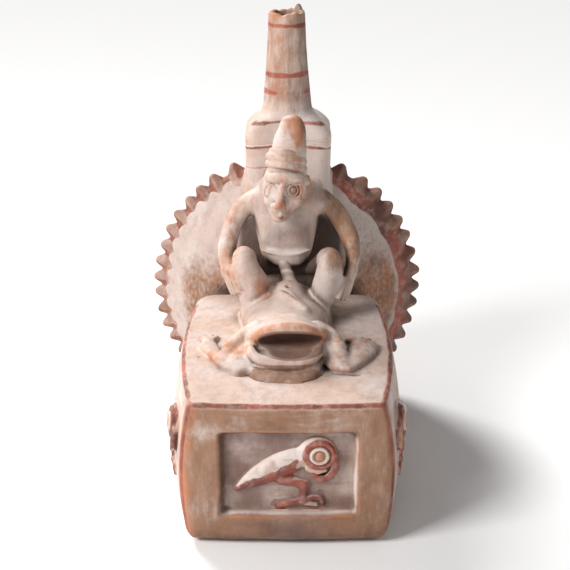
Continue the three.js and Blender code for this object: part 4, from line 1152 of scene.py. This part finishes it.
def toe_lines(foot, turns, reach, height):
    """Toes fanned out from a foot, towards the rear."""
    lines = []
    for turn in turns:
        a = math.radians(turn)
        tip = (foot[0] + reach * math.sin(a), foot[1] + reach * math.cos(a), height * 0.55)
        middle = ((foot[0] + tip[0]) / 2, (foot[1] + tip[1]) / 2, height)
        lines.append([(foot[0], foot[1], height), middle, tip])
    return lines


TOAD_LIMBS = {
    "left": {
        "upper": {"line": [(-14, -70, 12), (-20.5, -73, 9.4), (-27, -79.5, 6.4), (-31.6, -86.6, 3.0)],
                  "radii": [4.6, 4.0, 3.6, 2.6]},
        "web": [([(-16, -78, 6), (-22, -86, 4), (-27.5, -90.5, 1.8)], [7, 6.4, 4.2]),
                ([(-16, -86, 4), (-20.5, -92.5, 2), (-22.5, -95.5, 1)], [6, 4.8, 3.2])],
        "sole": [([(-31, -86, 2), (-35.5, -77, 1.5), (-39.5, -68, 1.3)], [4.2, 4.0, 4.2])],
        "toes": toe_lines((-39.6, -66), (-36, -14, 8, 28), 8.5, 1.7),
    },
    "right": {
        "upper": {"line": [(15, -70, 11.6), (20.8, -74, 9.6), (24.6, -82, 6.6), (26.4, -91, 3.0)],
                  "radii": [4.6, 4.4, 4.2, 3.0]},
        "web": [([(17, -80, 6), (20.6, -86, 4.4), (22.4, -92, 2)], [5.5, 4.8, 3.2])],
        "sole": [([(28, -93, 1.8), (33, -83, 2.2), (36, -73, 2.4)], [4.2, 5.6, 5.8]),
                 ([(30, -88, 1.6), (39, -78, 1.6), (40.5, -70, 1.8)], [3, 3.6, 4.4])],
        "toes": toe_lines((36, -70), (-38, -14, 12, 38), 9.0, 2.6),
    },
}


def toad_masks(x, y, z):
    h, back = z - DECK, y - REAR
    lip = unit(1 - np.abs(back + 84.5) / 4.5) * (h > 10)
    left_ridge = near(x + 0.8 * h, -19, 60) * near(back, -84, 9) * (x < -19)
    inside = np.minimum(MOUTH.field(x, y, z), THROAT.field(x, y, z))
    mouth = unit((1.0 - inside) / 0.7) * (h > 2.5)
    # front marks the chin's front face, which is painted darker as painted shade
    front = unit((-back - 96) / 3)
    return {
        "bare": 0.75 * lip + 0.6 * left_ridge + 0.3 * (x > 18) * (back < -60) * unit(h - 1)
                + 0.4 * spot(x, y, z, seat(5, -32, 19), 6) + 0.2 * spot(x, y, z, seat(-12, -55, 14), 12),
        "pale": 0.5 * spot(x, y, z, seat(-10, -52, 15), 12) + 0.6 * spot(x, y, z, seat(-12, -90, 8), 6)
                + 0.35 * mouth,
        "soot": 0.7 * mouth + 0.2 * unit((x - 18) / 8) + 0.35 * front * (h < 6),
        "buff": 0.3 * (x > 16) + 0.75 * front * (h < 6) + 0.8 * mouth,
        "dirt": 0.15 * mouth + 0.2 * front * (h < 5),
        "lit": 0.8 * mouth,
    }


def build_toad():
    body, jaw = toad_body(), toad_jaw()

    def below(x, y, z):
        return smooth_min(deck_field(x, y, z), body.field(x, y, z), 1.5)

    def under(x, y, z):
        return smooth_min(deck_field(x, y, z), smooth_min(body.field(x, y, z), jaw.field(x, y, z), 1.5), 1.5)

    build("toad_body", rooted(body, deck_field, 2.5), toad_masks)
    build("toad_lower_jaw", rooted(jaw, below, 2), toad_masks)
    for side, shape in TOAD_LIMBS.items():
        build(f"toad_{side}_limb", rooted(toad_limb(**shape), under, 1.8), toad_masks)
    return body


# Seated figure

# Levels: height over the deck, x, half width, front y and back y, with y from the deck's rear edge
TORSO = [
    [25, -0.6, 11.8, -16, 9], [29.4, -0.4, 13.8, -17.6, 11], [38.4, -0.6, 16.2, -16.7, 13],
    [48.4, -0.4, 18.4, -14.7, 15], [55.4, 0.4, 20.4, -12.2, 16], [59.4, 0.8, 18.5, -10.5, 16],
    [64, 0.4, 12, -9, 14],
]
HEM = [
    [22.6, 0.6, 7.6, -16.8, 4], [24.6, 0.2, 10.6, -18.2, 5], [28.4, -0.6, 13.2, -18.7, 6],
    [31.8, -0.8, 13.8, -18.3, 6],
]
SKULL = [
    [52.0, -4.1, 3.0, -26.4, -15], [54.4, -3.8, 5.4, -27.8, -11], [58.5, -2.4, 8.4, -28.4, -7],
    [62.4, -1.3, 10.2, -28.2, -5], [67, -1.1, 11.1, -27.8, -5], [71, -1.1, 11.3, -27.4, -5],
    [75.5, -0.4, 10.4, -26.8, -6], [78.5, 0, 9.6, -26, -7],
]
CAP = [
    [80, 0.9, 9, -25.6, -6.6], [84.5, 1, 9, -25.2, -6.4], [88, 1.2, 8.9, -24.6, -6.2],
    [93.2, 1.6, 8.2, -22.4, -5.8], [97.9, 2.4, 6.9, -19.4, -6], [100.8, 2.5, 5.7, -17.2, -6.8],
    [102.8, 2.3, 4.5, -15.6, -8], [104.2, 2.3, 2.6, -14, -9.6],
]
ARMS = {
    "left": {
        "line": [(-13, -4, 57), (-21.5, -4, 53.5), (-28.0, -8, 45.5), (-31.0, -14, 37.5), (-31.8, -21, 31),
                 (-30.4, -27, 25.5)],
        "radii": [5.2, 5.5, 4.9, 4.9, 4.7, 4.0],
        "palm": [(-31, -26, 27), (-29.6, -30, 22.0), (-28, -32.5, 18.5)],
        "fingers": [
            [(-33, -27, 27), (-31.2, -31.4, 21), (-28.6, -34, 14.4)],
            [(-31.5, -28.6, 27.5), (-29.4, -33.4, 21.5), (-27.2, -35.8, 15.2)],
            [(-30, -30, 28), (-27.8, -35.2, 22.5), (-25.6, -37.6, 17.2)],
            [(-28.8, -31.2, 28), (-26.4, -36.8, 24), (-24.4, -39.2, 20.2)],
        ],
    },
    "right": {
        "line": [(16, -4, 57), (24.6, -5, 51.6), (31, -9, 42.8), (34.1, -14.5, 36), (34.8, -20, 30.5),
                 (33.7, -26, 24.6)],
        "radii": [5.2, 5.4, 5.1, 4.7, 3.8, 3.0],
        "palm": [(33.7, -26, 24.6), (32, -29.5, 20.6), (30.8, -31.6, 17)],
        "fingers": [
            [(33.8, -28, 22), (33, -31, 17), (31.6, -33, 12.4)],
            [(32.6, -29.5, 22), (31.6, -32.6, 17), (30.2, -35, 11.8)],
            [(31.2, -31, 22), (30, -34.2, 17), (28.6, -36.6, 12.4)],
            [(30, -32.4, 22.5), (28.4, -35.8, 18), (27, -38, 14)],
        ],
    },
}
LEGS = {
    "left": {
        "line": [(-6, -4, 18), (-13.5, -14, 21.5), (-22.6, -27.5, 33.2), (-20.8, -33, 27), (-18, -33, 20),
                 (-16.8, -31.5, 13)],
        "radii": [4.4, 4.0, 5.2, 7.0, 8.3, 8.8],
    },
    "right": {
        "line": [(7, -4, 18), (14.5, -14, 21.5), (21.9, -27.5, 32.6), (22.1, -33, 26), (19.8, -33.4, 16),
                 (18.6, -33.4, 11), (17.6, -35, 7)],
        "radii": [4.4, 4.0, 5.4, 7.0, 7.2, 5.8, 4.6],
    },
}


def torso_form():
    body = column(seat_levels(TORSO), 2.7, 3)
    shoulders = [lump((-14, -4, 56.5), (8, 7.4, 6)), lump((16, -4, 56.5), (8.4, 7.4, 6))]
    return joined([body, *shoulders], 4)


def hem_form():
    pouch = column(seat_levels(HEM), 2.6, 2.5)
    edge = bead(((-13.6, -15.4, 32), (-9, -17.8, 31.4), (-3, -18.2, 30.4), (3, -18.2, 30.4),
                 (8, -17.6, 31.2), (12.4, -15, 32)), [0.7, 0.8, 0.8, 0.8, 0.8, 0.7])
    return pouch.join(edge, 1.2)


EYE = (3.1, 69.0)


def head_form():
    skull = column(seat_levels(SKULL), 2.4, 3.5)
    brow = bead(((-9.4, -23.6, 74.6), (-5.4, -27.2, 76.0), (0.6, -28.2, 76.2), (6, -26.6, 74.4),
                 (9.8, -21.6, 72)), [2.2, 2.6, 2.7, 2.6, 2.2])
    nose = bead(((-1.8, -27.6, 73), (-3.0, -29.2, 67), (-4.4, -30.8, 62.4)), [1.2, 1.5, 2.1])
    wings = [lump((x, -29.4, 61.6), (1.8, 1.7, 1.4)) for x in (-6.8, -2.2)]
    cheeks = [lump((-9.4, -24.8, 63), (2.6, 2.4, 3.4)), lump((4.6, -25.6, 62.6), (3.6, 2.6, 3.6))]
    chin = lump((-4.1, -26.6, 53.8), (3.4, 2.6, 2.2))
    lips = bead(((-8.0, -27.0, 57.8), (-4.6, -28.8, 56.0), (-1.2, -27.6, 57.8)), [0.6, 1.0, 0.6])
    ears = [bead(((-12.2, -18.6, 72.4), (-13.0, -17.8, 68), (-11.4, -18.6, 62.6)), [1.0, 1.5, 1.1]),
            bead(((10.6, -18, 73), (11.2, -17.4, 68), (9.6, -18.4, 62.6)), [1.2, 1.7, 1.2])]
    whole = joined([skull, brow, nose, *wings, *cheeks, chin, lips, *ears], 1.5)
    for place, radii in (((-8.6, -28.6, 68.4), (3.3, 2.4, 4.2)), ((EYE[0], -29.6, EYE[1]), (4.4, 2.6, 4.6))):
        whole = whole.cut(lump(place, radii), 0.7)
    mouth = bead(((-8.4, -27.8, 59.2), (-4.6, -30.2, 57.9), (-0.8, -28.8, 59.3)), [0.5, 0.8, 0.5])
    slit = bead(((-5.6, -29.2, 67), (-5.4, -30.2, 63.6)), [0.4, 0.4])
    whole = whole.cut(mouth, 0.5).cut(slit, 0.4)
    turns = np.linspace(0, 2 * math.pi, 15)
    rings = [roll([seat(x + radius * math.cos(a), y + 0.05 * radius * math.cos(a), z + tall * math.sin(a))
                   for a in turns], [thick] * 15, pieces=2)
             for x, y, z, radius, tall, thick in (
                 (EYE[0], -27.5, EYE[1], 4.3, 4.6, 0.65), (EYE[0], -27.2, EYE[1], 2.6, 2.9, 0.5),
                 (-8.6, -26.7, 68.2, 3.0, 3.9, 0.4))]
    pupil = lump((EYE[0] + 0.4, -27.0, EYE[1]), (1.3, 0.8, 1.4))
    return joined([whole, *rings, pupil], 0.5)


def headband_form():
    rolls = []
    for height, radius in ((82.7, 10.5), (78.7, 10.7), (86.0, 9.4)):
        ring = []
        for a in np.linspace(0, 2 * math.pi, 19):
            x, y = (radius - 1.7) * math.cos(a), (radius - 1.3) * math.sin(a)
            ring.append(seat(-0.4 + x, -16.4 + y, height - 0.17 * x - 0.33 * y))
        rolls.append(roll(ring, [1.9 if radius > 10 else 1.2] * 19, pieces=2))
    levels = [[72, -0.2, 9.2, -25, -8], [80, 0, 9.4, -25.4, -7], [86, 0.8, 9.0, -25.2, -7]]
    core = column(seat_levels(levels), 2.2, 1.5)
    return core.join(joined(rolls, 1.1), 0.9)


def arm_form(line, radii, palm, fingers):
    sleeve = bead(line, radii)
    hand = bead(palm, [3.2, 3.2, 2.2], ("y", 0.85))
    digits = [bead(finger, [1.1, 1.25, 1.0], pieces=4) for finger in fingers]
    return sleeve.join(hand, 2).join(joined(digits, 0.35), 0.7)


def leg_form(line, radii):
    return bead(line, radii, pieces=6)


def figure_masks(x, y, z):
    h = z - DECK
    front = unit((REAR - 8 - y) / 8)
    hem = near(h, 31.5 + 0.012 * x * x, 2.6) * (np.abs(x) < 14) * front
    pouch = unit((31.5 - h) / 3) * unit((h - 21) / 3) * (np.abs(x) < 14)
    outer = near(np.abs(x), 31, 6) * (h > 24)
    shank = near(x, -13.5, 4.5) * near(h, 20, 10)
    chest = front * unit((16 - np.abs(x)) / 3) * unit((h - 24) / 4)
    right_arm = unit((x - 15) / 7) * unit((h - 26) / 6)
    foot = unit((24 - h) / 6) * unit((np.abs(x) - 9) / 3)
    return {
        "bare": 0.38 * outer * (x < 0) + 0.3 * outer * (x > 0) + 0.7 * shank + 0.15,
        "pale": 0.95 * hem + 0.5 * pouch + 0.35 * spot(x, y, z, seat(18, -38, 26), 9)
                + 0.4 * spot(x, y, z, seat(-23, -34, 30), 8) + 0.5 * foot,
        "soot": 0.35 * near(h, 42, 8) * (np.abs(x) < 12) * front + 0.3 * chest,
        "buff": 0.75 * right_arm + 0.15 * chest,
        "lit": np.maximum(0.5 * chest, 0.7 * unit((h - 50) / 8)),
    }


def leg_masks(x, y, z):
    """The figure's clay, with painted shade where the thighs lie deep between knee and tunic."""
    found = figure_masks(x, y, z)
    deep = unit((19.5 - np.abs(x)) / 4) * unit((y - REAR + 29) / 5)
    found["shaded"] = 0.92 * deep * (z > DECK + 12)
    return found


def post_masks(x, y, z):
    return {"bare": 0.3, "buff": 0.3 * unit((x + 1) / 4)}


def head_masks(x, y, z):
    nose = spot(x, y, z, seat(-3.2, -31, 61.5), 3.4)
    mouth = spot(x, y, z, seat(-3.2, -29, 56.5), 4.2)
    eye = spot(x, y, z, seat(3.8, -28, 68.4), 4.4)
    cheek = spot(x, y, z, seat(-8, -28, 64), 4.5)
    return {
        "bare": nose + 0.25 * (x > 2) + 0.4 * spot(x, y, z, seat(-2, -28, 74), 5),
        "soot": 0.75 * eye + 0.35 * mouth,
        "buff": 0.35 * (x > -1) + 0.4 * mouth,
        "pale": 0.55 * cheek + 0.3 * (x < -3) + 0.9 * spot(x, y, z, seat(-3.4, -29.6, 56.8), 1.5),
        "paint": 3.0 - 3.6 * spot(x, y, z, seat(-3, -28, 54.6), 3.4),
    }


def cap_masks(x, y, z):
    h = z - DECK
    right = unit((x - 3) / 6) * unit((h - 84) / 6)
    return {
        "bare": 0.9 * near(x, 6.5, 3.2) * unit((h - 86) / 6) + 0.5 * spot(x, y, z, seat(2, -18, 99), 6),
        "soot": 0.5 * right + 0.9 * spot(x, y, z, seat(8.5, -12, 97), 4.5),
        "pale": 0.45 * unit((2 - x) / 6),
        "buff": 0.3 * right,
    }


def build_figure(toad):
    torso = torso_form()
    legs = {side: leg_form(**shape) for side, shape in LEGS.items()}

    def ground(x, y, z):
        return smooth_min(deck_field(x, y, z), toad.field(x, y, z), 3)

    def trunk(x, y, z, k=3):
        return smooth_min(around_field(x, y, z), torso.field(x, y, z), k)

    def stand(x, y, z):
        return smooth_min(ground(x, y, z), trunk(x, y, z, 1), 2)

    build("figure_torso", rooted(torso.join(hem_form(), 1.6), around_field, 4), figure_masks,
          ["figure_torso", "figure_hem"])
    build("figure_head", rooted(head_form(), torso.field, 2), head_masks)
    build("figure_headband", headband_form(), head_masks)
    build("figure_cap", column(seat_levels(CAP), 2.1, 2), cap_masks)
    for side, leg in legs.items():
        def hold(x, y, z, leg=leg):
            return smooth_min(trunk(x, y, z), leg.field(x, y, z), 1)

        build(f"figure_{side}_arm", rooted(arm_form(**ARMS[side]), hold, 2.6), figure_masks)
        build(f"figure_{side}_leg", rooted(leg, stand, 3.2), leg_masks)
    post = bead(((-2.2, -15.6, 26), (0.2, -21, 20.6), (3, -28, 15)), [3.2, 3.3, 3.4])
    build("clay_post", rooted(post, ground, 1.6), post_masks)


# Stage: floor, soft light and the camera at the photograph's angle

def build_stage():
    scene = bpy.context.scene
    bpy.ops.mesh.primitive_plane_add(size=8, location=(0, 0, 0))
    floor = bpy.context.object
    floor.name = "floor"
    paper = new_material("floor_paper")
    n = Nodes(paper)
    shader = n.add("BsdfPrincipled", {"Base Color": (0.93, 0.93, 0.93, 1), "Roughness": 0.9})
    n.tree.links.new(shader.outputs[0], n.add("OutputMaterial").inputs["Surface"])
    floor.data.materials.append(paper)

    world = bpy.data.worlds.new("studio")
    world.use_nodes = True
    background = world.node_tree.nodes["Background"]
    background.inputs["Color"].default_value = (1, 1, 1, 1)
    background.inputs["Strength"].default_value = 0.29
    scene.world = world

    def lamp(name, kind, place, aim, energy, colour, size):
        light = bpy.data.lights.new(name, kind)
        light.energy, light.color = energy, colour
        if kind == "SUN":
            light.angle = size
        else:
            light.shape, light.size = "SQUARE", size
        holder = bpy.data.objects.new(name, light)
        holder.location = place
        holder.rotation_mode = "QUATERNION"
        holder.rotation_quaternion = Vector(np.subtract(aim, place)).to_track_quat("-Z", "Y")
        scene.collection.objects.link(holder)

    lamp("back_light", "SUN", (-0.5, 0.8, 0.8), (0, 0, 0), 3.0, (1, 0.99, 0.98), math.radians(22))
    lamp("key_light", "AREA", (-0.78, -0.5, 0.78), (0, -0.02, 0.12), 11.6, (1, 0.99, 0.985), 0.4)

    camera = bpy.data.objects.new("camera", bpy.data.cameras.new("camera"))
    camera.data.sensor_width = 36
    camera.data.lens = 69.47
    camera.data.shift_x = -2 / 570
    camera.location = (0, -0.532086, 0.320559)
    camera.rotation_euler = (math.radians(67), 0, 0)
    scene.collection.objects.link(camera)
    scene.camera = camera
    scene.view_settings.view_transform = "Standard"


def all_fields():
    """The forms that shut others in, and so cast the painted shade."""
    forms = [torso_form(), hem_form(), column(seat_levels(SKULL), 2.4, 3.5), headband_form(),
             column(seat_levels(CAP), 2.1, 2), toad_body(), toad_jaw()]
    forms += [arm_form(**shape) for shape in ARMS.values()] + [leg_form(**shape) for shape in LEGS.values()]
    forms += [toad_limb(**shape) for shape in TOAD_LIMBS.values()]
    return [form.field for form in forms] + [dome_field, rim_field, tower_field, plinth_field]


build_stage()
# Painted shade for every piece, from how shut in each place is by all the forms
painted_shade = PaintedShade((-86, -176, -20), (86, 52, 196), all_fields())
build_plinth()
build_front_bird()
build_side_bird("left_bird")
build_side_bird("right_bird")
build_valves()
build_rim()
build_tower()
toad = build_toad()
build_figure(toad)
